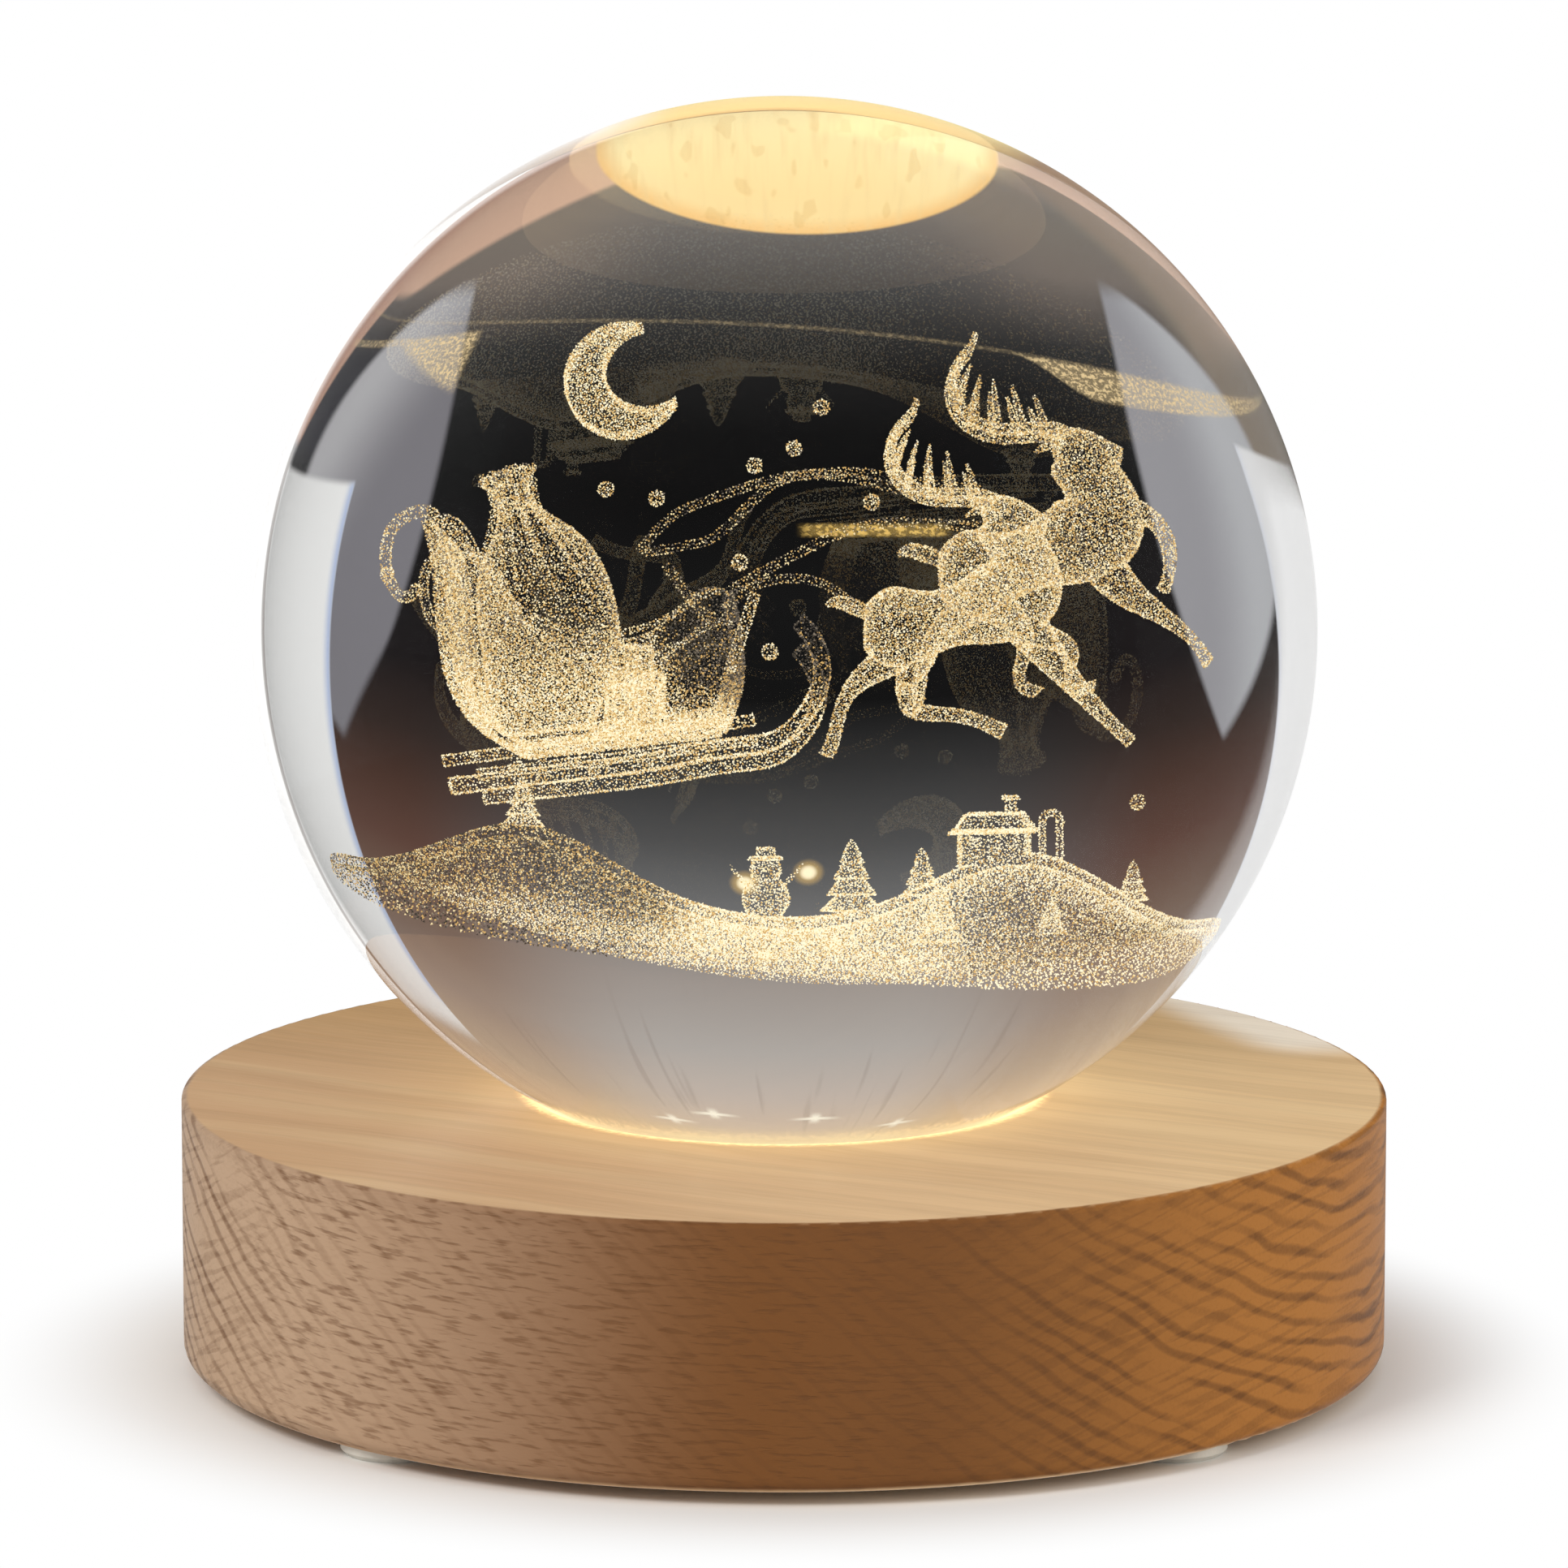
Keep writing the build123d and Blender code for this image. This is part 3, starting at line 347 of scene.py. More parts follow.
def beech(settings):
    """Beech whose fibres run from the back left to the front right, with painted lamp glow round the ball and
    a painted highlight at the back right.
    """
    material, graph, (x, y, z) = new_material("beech")
    along = x * COS_30 - y * SIN_30
    across = x * SIN_30 + y * COS_30
    wander = graph.noise(along / 40, across / 16, z / 16, 1.0) - 0.5
    ray = across * COS_30 - z * SIN_30 + wander * 5
    ring = across * SIN_30 + z * COS_30 + wander * 3
    from_axis = distance(x, y)
    side = from_axis.rise(WOOD_R - 0.6, WOOD_R - 0.2)
    flat = 1 - side

    # Marks on the side, where the rings and the fibres' ends are cut, and on the top
    around = x.math("ARCTAN2", -y) * WOOD_R
    layer = (x * 0.832 - y * 0.211 + z) / 1.318
    slant = x * 0.77 - z * 0.64
    phase = layer * 4.6 + graph.noise(layer / 5, slant / 9, y / 10) * 9
    weight = graph.noise(layer / 2.5, slant / 16, y / 16, 1.0).rise(0.3, 0.6)
    rings = phase.math("SINE").rise(-0.1, 1.0) * weight
    crossings = graph.noise((z - x * 0.5 + y * 0.2) / 0.6, layer / 4, y / 9).rise(0.48, 0.62)
    dashes = graph.noise(around / 2.6 + z * 0.1, y / 20, z / 0.36 + around * 0.1, 2.0, 0.55).rise(0.50, 0.68)
    ends = (around.rise(0, 26) + around.fall(-56, -36)) * side
    flank = side - ends
    growth = graph.noise(ray / 1.35, along / 70, ring / 22, 2.0, 0.55).rise(0.36, 0.68)
    fine = graph.noise(ray / 0.30, along / 5.5, ring / 0.30, 2.0, 0.6)
    broad = graph.noise(ray / 7, along / 90, ring / 12)
    cloud = graph.noise(x / 24, y / 24, z / 24, 1.0)

    # Colour of the side and the top, and the marks in it
    # The rim is paler at the left and darker at the front and right: partly the beech's own tone, partly
    # painted shade of light that falls from the left
    rim = graph.mix(x.rise(-46, -1), settings.pale_side, settings.dark_side)
    rim = graph.mix(x.rise(8, 42), rim, settings.amber_side)
    top = graph.mix(x.rise(-44, 26), settings.left_top, settings.top)
    top = graph.mix(y.rise(0, 40) * 0.85, top, settings.back_top)
    body = graph.mix(side, top, rim)
    body = graph.mix((broad - 0.5) * 0.7 * flat + (cloud - 0.5) * 0.2, body, "9a6a3a")
    body = graph.mix((0.5 - broad).rise(0, 0.2) * 0.22 * flat, body, "f0d6a8")
    # Painted highlight: a pale streak along the back right edge of the top
    painted_highlight = (x * 0.9 + y * 0.42).rise(37, 42) * (y - 10).rise(0, 7) * flat
    body = graph.mix(painted_highlight * 0.9, body, "fff4e6")
    marks = dashes * flank * 0.50 + rings * ends * 0.52 + crossings * ends * 0.26
    marks = marks + rings * flank * 0.20 + growth * flat * 0.12
    marks = marks + (fine - 0.5) * (0.16 + side * 0.22)
    under_edge = side * z.rise(WOOD_TOP - 1.6, WOOD_TOP - 0.1) * 0.14
    tone = graph.mix((marks + under_edge).least(0.8).most(0), body, settings.pore)

    # Painted lamp light round the ball's foot, given off as emission, and a painted pool of the light that
    # the ball throws on the wood behind it
    lit = from_axis.fall(21.0, 39.0)
    lit = lit * lit * 0.10 + from_axis.fall(18.8, 25.5) * 0.14
    hot = from_axis.fall(18.6, 20.6)
    painted_sparkle = graph.noise(x / 0.5, y / 0.5, z / 0.5, 1.0).rise(0.42, 0.66)
    from_spot = (x / 17) * (x / 17) + ((y - 38) / 13) * ((y - 38) / 13)
    lit = lit + from_spot.rise(0.1, 1.0, 0.7, 0)
    strength = flat * z.rise(4, 12) * (lit + hot * (0.9 + painted_sparkle * 1.4)) * settings.glow_strength
    light = graph.mix(hot, scaled(settings.glow, 0.9), "ffe7a8")
    glow = graph.mix(strength, (0, 0, 0), light)
    coat(
        graph,
        Base_Color=tone,
        Roughness=0.36 + fine * 0.16 + side * 0.12,
        Specular_IOR_Level=0.3,
        Emission_Color=glow,
        Emission_Strength=1.0,
        Normal=graph.bump(fine * 0.15 - marks, 0.09, 0.7),
    )
    return material


# Glass
def clear_glass(settings):
    """Solid glass; lamp light goes straight through it, so that it throws no noisy caustics."""
    material, graph, _ = new_material("crystal_glass")
    sockets = {"Base Color": (1, 1, 1), "Roughness": 0.0, "IOR": settings.ior, "Transmission Weight": 1.0}
    glass = graph.add("ShaderNodeBsdfPrincipled", {}, sockets)
    clear = graph.add("ShaderNodeBsdfTransparent", {}, {"Color": (0.93, 0.93, 0.93)})
    soft_ray = graph.ray("Shadow").most(graph.ray("Diffuse"))
    mixed = graph.add("ShaderNodeMixShader", {}, {0: soft_ray, 1: glass, 2: clear})
    graph.add("ShaderNodeOutputMaterial", {}, {"Surface": mixed})
    return material


# Engraving: a crack glows with painted lamp light, in a tone set by how much light reaches it, and takes a
# random scale
TONES = ("dark", "dim", "gold", "cream", "bright")
TONE_STEPS = (-0.05, 0.22, 0.6, 0.98)
CRACK_CORNERS = 4
SMALLEST, LARGEST = 0.6, 1.35

# Places from the ball's centre; a stag also has its pitch in degrees
COTTAGE_X = 10.3
FIGURE_AT = (-0.9, -0.6)
NEAR_STAG = ((9.2, -3.0, 1.4), -11)
FAR_STAG = ((12.5, 3.2, 3.2), -15)


class Form:
    """A shape in millimetres from the ball's centre, put together from simple solids."""

    def __init__(self):
        self.mesh = bmesh.new()

    def block(self, at, size):
        matrix = Matrix.Translation(at) @ Matrix.Diagonal((*size, 1))
        bmesh.ops.create_cube(self.mesh, size=1, matrix=matrix)

    def cone(self, at, bottom, top, height):
        x, y, z = at
        bmesh.ops.create_cone(
            self.mesh, cap_ends=True, segments=16, radius1=bottom, radius2=top, depth=height,
            matrix=Matrix.Translation((x, y, z + height / 2)),
        )

    def rod(self, points, smooth=True):
        """A round rod through points of (x, y, z, radius)."""
        curve = bpy.data.curves.new("rod", "CURVE")
        curve.dimensions = "3D"
        curve.bevel_depth = 1.0
        curve.bevel_resolution = 1
        curve.use_fill_caps = True
        curve.resolution_u = 5
        spline = curve.splines.new("NURBS" if smooth else "POLY")
        spline.points.add(len(points) - 1)
        for point, (px, py, pz, radius) in zip(spline.points, points):
            point.co = (px, py, pz, 1)
            point.radius = radius
        if smooth:
            spline.order_u = 3
            spline.use_endpoint_u = True
        holder = bpy.data.objects.new("rod", curve)
        made = bpy.data.meshes.new_from_object(holder)
        self.mesh.from_mesh(made)
        bpy.data.objects.remove(holder)
        bpy.data.curves.remove(curve)
        bpy.data.meshes.remove(made)

    def solid(self, node, part=lambda x, y, z: True):
        """Adds an engraved solid of the frame, or those of its faces whose middle passes the test."""
        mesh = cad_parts[node].data.copy()
        mesh.transform(Matrix.Scale(1 / MM, 4) @ Matrix.Translation(-BALL_CENTRE))
        start = len(self.mesh.faces)
        self.mesh.from_mesh(mesh)
        bpy.data.meshes.remove(mesh)
        self.mesh.faces.ensure_lookup_table()
        away = [face for face in self.mesh.faces[start:] if not part(*face.calc_center_median())]
        bmesh.ops.delete(self.mesh, geom=away, context="FACES")

    def held(self):
        """The form as an object in the scene, still in millimetres."""
        return shown("form", mesh_of("form", self.mesh))


def evaluated(holder):
    """The object's mesh with its modifiers applied."""
    graph = bpy.context.evaluated_depsgraph_get()
    graph.update()
    return bpy.data.meshes.new_from_object(holder.evaluated_get(graph))


def discard(holder):
    mesh = holder.data
    bpy.data.objects.remove(holder)
    bpy.data.meshes.remove(mesh)


def crack_group(spacing, size, seed):
    """Geometry nodes that scatter tiny three-sided cracks over a surface."""
    group = bpy.data.node_groups.new("cracks", "GeometryNodeTree")
    for way in ("INPUT", "OUTPUT"):
        group.interface.new_socket("Geometry", in_out=way, socket_type="NodeSocketGeometry")
    graph = Graph(group)
    surface = graph.add("NodeGroupInput")
    inputs = {"Mesh": surface, "Distance Min": spacing, "Density Max": 1.6 / spacing**2, "Seed": seed}
    spots = graph.add("GeometryNodeDistributePointsOnFaces", {"distribute_method": "POISSON"}, inputs)
    inputs = {"Vertices": 3, "Radius Top": 0.0, "Radius Bottom": size * 0.55, "Depth": size}
    crack = graph.add("GeometryNodeMeshCone", {"fill_type": "NGON"}, inputs)
    inputs = {"Min": (0, 0, 0), "Max": (math.tau, math.tau, math.tau), "Seed": seed + 1}
    turn = graph.add("FunctionNodeRandomValue", {"data_type": "FLOAT_VECTOR"}, inputs)
    inputs = {2: SMALLEST, 3: LARGEST, "Seed": seed + 2}
    swell = graph.add("FunctionNodeRandomValue", {"data_type": "FLOAT"}, inputs, 1)
    inputs = {"Points": spots, "Instance": crack, "Rotation": turn, "Scale": swell}
    cracks = graph.add("GeometryNodeInstanceOnPoints", {}, inputs)
    real = graph.add("GeometryNodeRealizeInstances", {}, {"Geometry": cracks})
    graph.add("NodeGroupOutput", {}, {0: real})
    return group


def crack_material(tone, settings):
    """The material of the cracks of one tone, which every engraved piece shares; its emission is painted lamp
    light.
    """
    name = f"engraving_{tone}"
    if name not in bpy.data.materials:
        colour = getattr(settings, tone)
        _, graph, _ = new_material(name)
        coat(
            graph, Base_Color=scaled(colour, 0.2), Roughness=0.5, Emission_Color=colour,
            Emission_Strength=settings.strength,
        )
    return bpy.data.materials[name]


def engrave(form, name, node, spacing, seed, light, spread=1.15, crack=1.0):
    """Turns a form into cracks that ride on the ball and stand for an engraved solid.

    The painted lamp light that reaches them, given off as emission, is one level, or a function of their
    places.
    """
    settings = bpy.context.scene.night_light.engraving
    holder = form.held()
    modifier = holder.modifiers.new("cracks", "NODES")
    modifier.node_group = crack_group(spacing, settings.crack / MM * crack, seed)
    mesh = evaluated(holder)
    discard(holder)
    mesh.name = name
    corners = np.empty(len(mesh.vertices) * 3, np.float32)
    mesh.vertices.foreach_get("co", corners)
    x, y, z = corners.reshape(-1, CRACK_CORNERS, 3)[:, 0].T
    reached = light(x, y, z) if callable(light) else light
    level = reached + (np.random.default_rng(seed).random(len(x)) - 0.1) * spread
    tones = np.digitize(level, TONE_STEPS).astype(np.int32)
    mesh.materials.clear()
    for tone in TONES:
        mesh.materials.append(crack_material(tone, settings))
    mesh.polygons.foreach_set("material_index", np.repeat(tones, len(mesh.polygons) // len(x)))
    mesh.transform(Matrix.Translation(BALL_CENTRE) @ Matrix.Scale(MM, 4))
    piece = shown(name, mesh)
    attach(piece, "ball")
    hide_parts(node)


def ground_level(x, y):
    """Height of the engraved snow, as the frame's landscape has it."""
    level = -14.4 - 0.085 * x - (3.0 if y < 0 else 1.2) * (y / 12) ** 2
    for hill_x, height, spread in ((-12.8, 3.6, 38), (12.0, 4.3, 44)):
        level += height * math.exp(-((x - hill_x) ** 2) / spread - (y + 0.5) ** 2 / 34)
    return level


def on_ground(x, y, z):
    """Whether a place lies on the engraved snow or under it."""
    return z < ground_level(x, y) + 0.06


def stag(near):
    """One stag of the pair, with ears, a tail, the tines of its antlers and, if near, a folded hind leg."""
    form = Form()
    at, pitch = NEAR_STAG if near else FAR_STAG
    place = Matrix.Translation(at) @ Matrix.Rotation(math.radians(pitch), 4, "Y")
    back = place.inverted()

    def kept(x, y, z):
        own = back @ Vector((x, y, z))
        folded = near and -4.2 < own.x < 2.2 and own.z < -3.3
        return (y < 0) == near and not folded

    form.solid("engraved_stags", kept)
    rods = [[(-4.7, 0, 0.8, 0.35), (-5.6, 0, 1.5, 0.45), (-6.4, 0, 1.9, 0.3), (-6.8, 0, 1.7, 0.1)]]
    if near:
        rods.append([
            (-3.4, -0.75, -3.0, 0.6), (-3.8, -0.75, -3.9, 0.5), (-3.4, -0.75, -4.5, 0.45),
            (-1.8, -0.75, -4.9, 0.38), (-0.2, -0.75, -5.5, 0.36), (0.9, -0.75, -6.4, 0.45),
        ])
    for side in (-1, 1):
        rods.append([(2.9, side * 0.6, 5.4, 0.2), (2.2, side * 1.2, 5.5, 0.3), (1.5, side * 1.5, 5.3, 0.06)])
        for x, z, run, lift in (
            (1.9, 5.9, -0.1, 1.7), (0.8, 6.15, 0.1, 2.2), (-0.4, 6.45, 0.5, 2.4), (-1.4, 7.1, 0.9, 2.1),
            (-1.85, 8.2, 1.1, 1.7), (-1.8, 9.3, 0.9, 1.3),
        ):
            middle = (x + run * 0.4, side * 0.9, z + lift * 0.6, 0.18)
            rods.append([(x, side * 0.8, z, 0.22), middle, (x + run, side * 0.95, z + lift, 0.05)])
    for points in rods:
        form.rod([(*(place @ Vector(point[:3])), point[3]) for point in points])
    return form


def sleigh_trim():
    """A raised brim, a post at the front, folds in the sack and ribbons round the parcels."""
    form = Form()
    brim = [(-2.7, 1.1), (-3.6, 1.3), (-5.8, -0.5), (-9.5, -1.2), (-13.4, 0.6), (-16.2, 4.9), (-17.5, 4.8)]
    for y in (-4.1, 4.1):
        form.rod([(x, y, z, 0.16) for x, z in brim])
    form.rod([(-2.8, -4.1, -1.4, 0.32), (-2.1, -4.1, 0.7, 0.36), (-1.5, -4.1, 2.6, 0.3)])
    folds = 9
    fold = (
        (-14.2, 1.4, 7.9, 0.16), (-13.7, 0.9, 6.5, 0.14), (-12.9, 2.3, 4.3, 0.12), (-12.1, 3.3, 1.8, 0.05),
    )
    for k in range(folds):
        a = math.tau * k / folds
        form.rod([(x + out * math.cos(a), out * math.sin(a), z, radius) for x, out, z, radius in fold])
    turns = [math.tau * k / 8 for k in range(9)]
    form.rod([(-13.7 + 1.05 * math.cos(a), 1.05 * math.sin(a), 6.4, 0.2) for a in turns])
    for x, y, z, size in ((-7.6, -1.7, -3.7, 2.6), (-7.0, 1.7, -3.7, 2.4), (-7.5, 0, -1.9, 2.0)):
        form.block((x, y, z), (size * 0.2, size * 1.06, size * 1.06))
        form.block((x, y, z), (size * 1.06, size * 0.2, size * 1.06))
    for side in (-1, 1):
        bow = [(-7.5, 0, -0.9, 0.12), (-7.5 + side * 0.9, 0, 0.0, 0.12), (-7.5 + side * 1.1, 0, -0.7, 0.12)]
        form.rod([*bow, bow[0]])
    return form


def reins():
    """Slack reins from the load to the stags, and thin traces to the post."""
    form = Form()
    for points in (
        [(-7.2, 0, 4.0), (-6.0, -0.5, 5.8), (-4.3, -1, 6.7), (-2.3, -1, 7.4), (-0.3, 0, 7.8), (3.5, 1, 7.9),
         (6.5, 2, 7.0), (9.5, 3, 6.4)],
        [(-6.8, 1, 3.7), (-4.9, 0.5, 4.1), (-3.4, 0, 4.6), (-1.9, 0, 6.2), (-0.1, 0.5, 7.8), (3.0, 2, 7.4),
         (7.0, 3, 6.0), (11.0, 3, 5.5)],
        [(-6.0, -2, 3.7), (-4.8, -3, 2.1), (-3.8, -4, 1.1), (-2.7, -4, 2.1), (-1.6, -4, 3.1), (0.5, -4, 3.5),
         (2.3, -4, 3.1), (3.8, -3.5, 1.7), (6.5, -4.6, 1.6), (10.5, -4.8, 2.2)],
        [(-2.7, 4, 1.1), (0.5, 4, 3.0), (4.0, 4, 4.6), (8.0, 4, 4.4), (12.5, 4.8, 4.0)],
    ):
        form.rod([(*point, 0.25) for point in points])
    form.rod([(-5.6, -4.1, -1.2, 0.09), (-4.0, -4.1, -0.1, 0.09), (-2.4, -4.1, 0.7, 0.09)])
    form.rod([(-6.0, -4.1, -3.7, 0.09), (-4.2, -4.1, -2.6, 0.09), (-2.8, -4.1, -1.4, 0.09)])
    return form


def village_trim():
    """Eaves, a door and two windows on the cottage, and a brim, a nose and arms on the snow figure."""
    form = Form()
    x = COTTAGE_X
    foot = ground_level(x, 0) - 0.5
    form.block((x, 0, foot + 1.72), (4.2, 2.8, 0.12))
    form.block((x - 0.9, -1.15, foot + 0.9), (0.7, 0.12, 1.2))
    for along in (0.2, 1.15):
        form.block((x + along, -1.15, foot + 1.0), (0.6, 0.12, 0.6))
    form.block((x + 0.8, 0.4, foot + 3.35), (0.75, 0.75, 0.18))
    x, y = FIGURE_AT
    foot = ground_level(x, y)
    form.cone((x, y, foot + 2.8), 0.85, 0.8, 0.15)
    form.rod([(x, y - 0.7, foot + 2.35, 0.14), (x - 0.1, y - 1.3, foot + 2.3, 0.04)], smooth=False)
    for side in (-1, 1):
        form.rod([
            (x + side * 0.8, y, foot + 1.5, 0.12), (x + side * 1.3, y - 0.1, foot + 1.9, 0.1),
            (x + side * 1.8, y - 0.2, foot + 2.6, 0.05),
        ])
    return form


# Finishes of the small parts
def moulded(name, colour, roughness, grain=0.12):
    """Moulded plastic with a fine, uneven grain."""
    material, graph, (x, y, z) = new_material(name)
    pattern = graph.noise(x / grain, y / grain, z / grain, 3.0, 0.6)
    cloud = graph.noise(x / 6, y / 6, z / 6)
    tone = graph.mix(cloud * 0.35, colour, scaled(colour, 0.72))
    coat(
        graph, Base_Color=tone, Roughness=roughness + (pattern - 0.5) * 0.2,
        Normal=graph.bump(pattern, 0.02, 0.35),
    )
    return material


def metal(name, colour, roughness):
    """Plated metal with fine marks along X."""
    material, graph, (x, y, z) = new_material(name)
    marks = graph.noise(x / 3, y / 0.05, z / 0.05, 2.0, 0.6)
    worn = graph.noise(x / 2, y / 2, z / 2)
    tone = graph.mix(worn * 0.4, colour, scaled(colour, 0.7))
    coat(
        graph, Base_Color=tone, Metallic=1.0, Roughness=roughness + (marks - 0.5) * 0.24,
        Normal=graph.bump(marks, 0.01, 0.25),
    )
    return material


def rubber(name, colour):
    """Rubber with fine pores and patches of dust."""
    material, graph, (x, y, z) = new_material(name)
    pattern = graph.noise(x / 0.3, y / 0.3, z / 0.3, 3.0, 0.6)
    dust = graph.noise(x / 3, y / 3, z / 3).rise(0.5, 0.8)
    tone = graph.mix(dust * 0.3, colour, "6a6560")
    coat(graph, Base_Color=tone, Roughness=0.7 + pattern * 0.2, Normal=graph.bump(pattern, 0.05, 0.6))
    return material


def circuit_board(name, colour, copper):
    """Solder mask with traces that show through it."""
    material, graph, (x, y, _) = new_material(name)
    row = graph.noise(x / 9, y / 1.3, 0, 0.0).within(0.50, 0.56, 0.02)
    column = graph.noise(x / 1.3, y / 9, 7, 0.0).within(0.50, 0.56, 0.02)
    trace = row.most(column)
    tone = graph.mix(trace * 0.5, colour, copper)
    coat(graph, Base_Color=tone, Roughness=0.38 - trace * 0.08, Normal=graph.bump(trace, 0.03, 0.5))
    return material


def lit(name, colour, light, strength, core):
    """A surface that glows as emission, brightest near the axis: the lamps' own light, or painted lamp light
    on the parts round them.
    """
    material, graph, (x, y, z) = new_material(name)
    even = graph.noise(x / 1.5, y / 1.5, z / 1.5)
    share = distance(x, y).rise(0, core, 1.0, 0.35) * (0.85 + even * 0.3)
    coat(
        graph, Base_Color=colour, Roughness=0.5, Emission_Color=graph.mix(share, (0, 0, 0), light),
        Emission_Strength=strength,
    )
    return material


# Surroundings
class Surroundings:
    """What the ball shows of the studio, painted layer over layer by a ray's direction in degrees."""

    def __init__(self, graph, ray):
        x, y, z = ray
        self.graph = graph
        self.ray = ray
        self.azimuth = x.math("ARCTAN2", y) * math.degrees(1)
        self.elevation = z.math("ARCSINE") * math.degrees(1)
        self.away = abs(self.azimuth)
        self.low = self.elevation + 20
        self.east = self.azimuth.rise(-1, 1)
        self.west = 1 - self.east
        self.colour = None

    def paint(self, share, colour):
        """Lays a colour over what is there: none of it at 0 and all of it at 1."""
        self.colour = self.graph.mix(share, self.colour, colour)

    def room(self):
        """A dark room with a pale ceiling, browner towards the sides."""
        graph, elevation, away, low = self.graph, self.elevation, self.away, self.low
        middle = graph.ramp(elevation, -70, 80, [
            (-70, 120), (-58, 116), (-49, 110), (-42, 90), (-35, 56), (-29, 28), (-24, 14), (-18, 8), (-5, 9),
            (0, 50), (6, 80), (12, 114), (20, "9d9691"), (30, "afaba7"), (40, "c4b9b0"), (50, "d8c5b2"),
            (56, "f4dbb0"), (62, (1.05, 0.90, 0.50)), (75, (1.05, 0.92, 0.6)),
        ])
        edge = graph.ramp(elevation, -70, 80, [
            (-70, 120), (-50, "827a70"), (-42, "7c726a"), (-33, 50), (-26, 30), (-20, 16), (-6, "171213"),
            (0, "31241f"), (5, "4b342b"), (11, "60443a"), (20, "7d6658"), (30, "98867a"), (42, "b9a48e"),
            (55, "e4c4a0"), (70, "f4d6a8"),
        ])
        self.colour = graph.mix(away.rise(10, 36), middle, edge)
        streak = graph.noise(self.azimuth / 1.3, elevation / 26, 0, 1.0).rise(0.60, 0.74)
        self.paint(streak * elevation.rise(16, 30) * 0.20, "6b5f5a")
        self.paint(away.rise(44, 50) * low.rise(-24, -6) * low.fall(-4, 0) * self.east, "24232b")
        self.paint(away.rise(50, 60) * low.fall(2, 6) * self.west, (0.25, 0.205, 0.16))

    def curtains(self):
        """A grey curtain at each side, between the dark middle and the soft box."""
        away, low, elevation, west = self.away, self.low, self.elevation, self.west
        inner = away - low * low * 0.02 - west * 1.4
        outer = away + low * low * 0.036
        slope = away * (1.1 - west * 0.55) - 46 + west * 27 - elevation
        curtain = inner.rise(31.6, 32.8) * outer.fall(61.0, 64.5) * slope.rise(-1, 1)
        east_curtain = self.graph.mix((away - low * 0.7).rise(40, 62), "7d7b80", "b9b8ba")
        west_curtain = self.graph.mix(away.rise(40, 54), "9a999d", "bcbdc0")
        self.paint(curtain * elevation.rise(-43, -39), self.graph.mix(self.east, west_curtain, east_curtain))

    def soft_boxes(self):
        """A white soft box at each side with a bluish inner edge, and a grey wall past the right one."""
        away, low, east, west = self.away, self.low, self.east, self.west
        start = away - west * (9.6 + low.most(0) * 0.13)
        floor_line = low + west * (3.6 - (away - 56) * 0.17)
        box = start.rise(46.2, 46.9) * floor_line.rise(-0.8, 0.2) * (low - west * 4).fall(57, 63)
        self.paint(box, self.graph.mix(east, 242, "f3f3f1"))
        fringe = start.fall(46.2, 48.6) * box * low.fall(52, 56)
        self.paint(fringe * (0.75 * east + 0.25), "a9bbe0")
        self.paint(self.wall().rise(74.4, 75.2) * east * low.rise(-3, 0), "8d8078")

    def wall(self):
        """Degrees from the front, bent as the wall past the right soft box is."""
        return self.away + self.low.most(0) * 0.195 * self.east + self.low.least(0) * 0.02

    def rosy_edges(self):
        """A painted reflection of the wood's rosy light along both lower sides, and a painted bright rim at
        the far right.
        """
        away, elevation, east = self.away, self.elevation, self.east
        edge_line = away + (elevation + 42) * (0.62 * east)
        pink = self.graph.mix(self.wall().rise(60, 74), (0.72, 0.47, 0.34), (0.66, 0.38, 0.27))
        band = (away * 0.52 - elevation - 72).rise(-1.4, 1.0) * elevation.fall(-42, -40)
        band = band.most(edge_line.rise(66, 68) * elevation.fall(-62, -58))
        band = band.most((away - elevation * 0.42).rise(82.0, 84.0) * self.low.fall(-4, -2))
        self.paint(band * east, pink)
        rosy = (-elevation - 31 - (97.8 - away).rise(0, 42, 0, 31)).rise(-1, 1)
        self.paint(rosy * self.west * away.rise(50, 54), (0.92, 0.64, 0.49))
        self.paint(self.wall().rise(76.8, 77.8) * east, (1.45, 1.43, 1.38))

    def crown(self):
        """A painted reflection of the lit recess under the ball, which the glass shows as a bright cap."""
        x, y, z = self.ray
        below = (-z).most(0.02)
        u = x / below + 0.03
        v = y / below
        half_width = 0.40
        start, length = 0.29, 0.71
        cap = distance(abs(u / half_width), (v - start).most(0) / length)
        graph = self.graph
        lines = graph.noise(u * 34, v * 1.6, 0, 2.0, 0.6).rise(0.45, 0.75)
        specks = graph.noise(u * 26, v * 5, 4, 1.0).rise(0.60, 0.66)
        warm = graph.mix(v.rise(0.1, 0.9), (1.18, 1.04, 0.56), (1.05, 0.80, 0.38))
        warm = graph.mix(cap.rise(0.86, 1.0), warm, (1.0, 0.62, 0.24))
        warm = graph.mix(lines * 0.5, warm, (0.95, 0.70, 0.33))
        warm = graph.mix(specks * 0.22, warm, "d9a85a")
        self.paint(cap.fall(0.985, 1.01) * z.fall(-0.6, -0.5), warm)

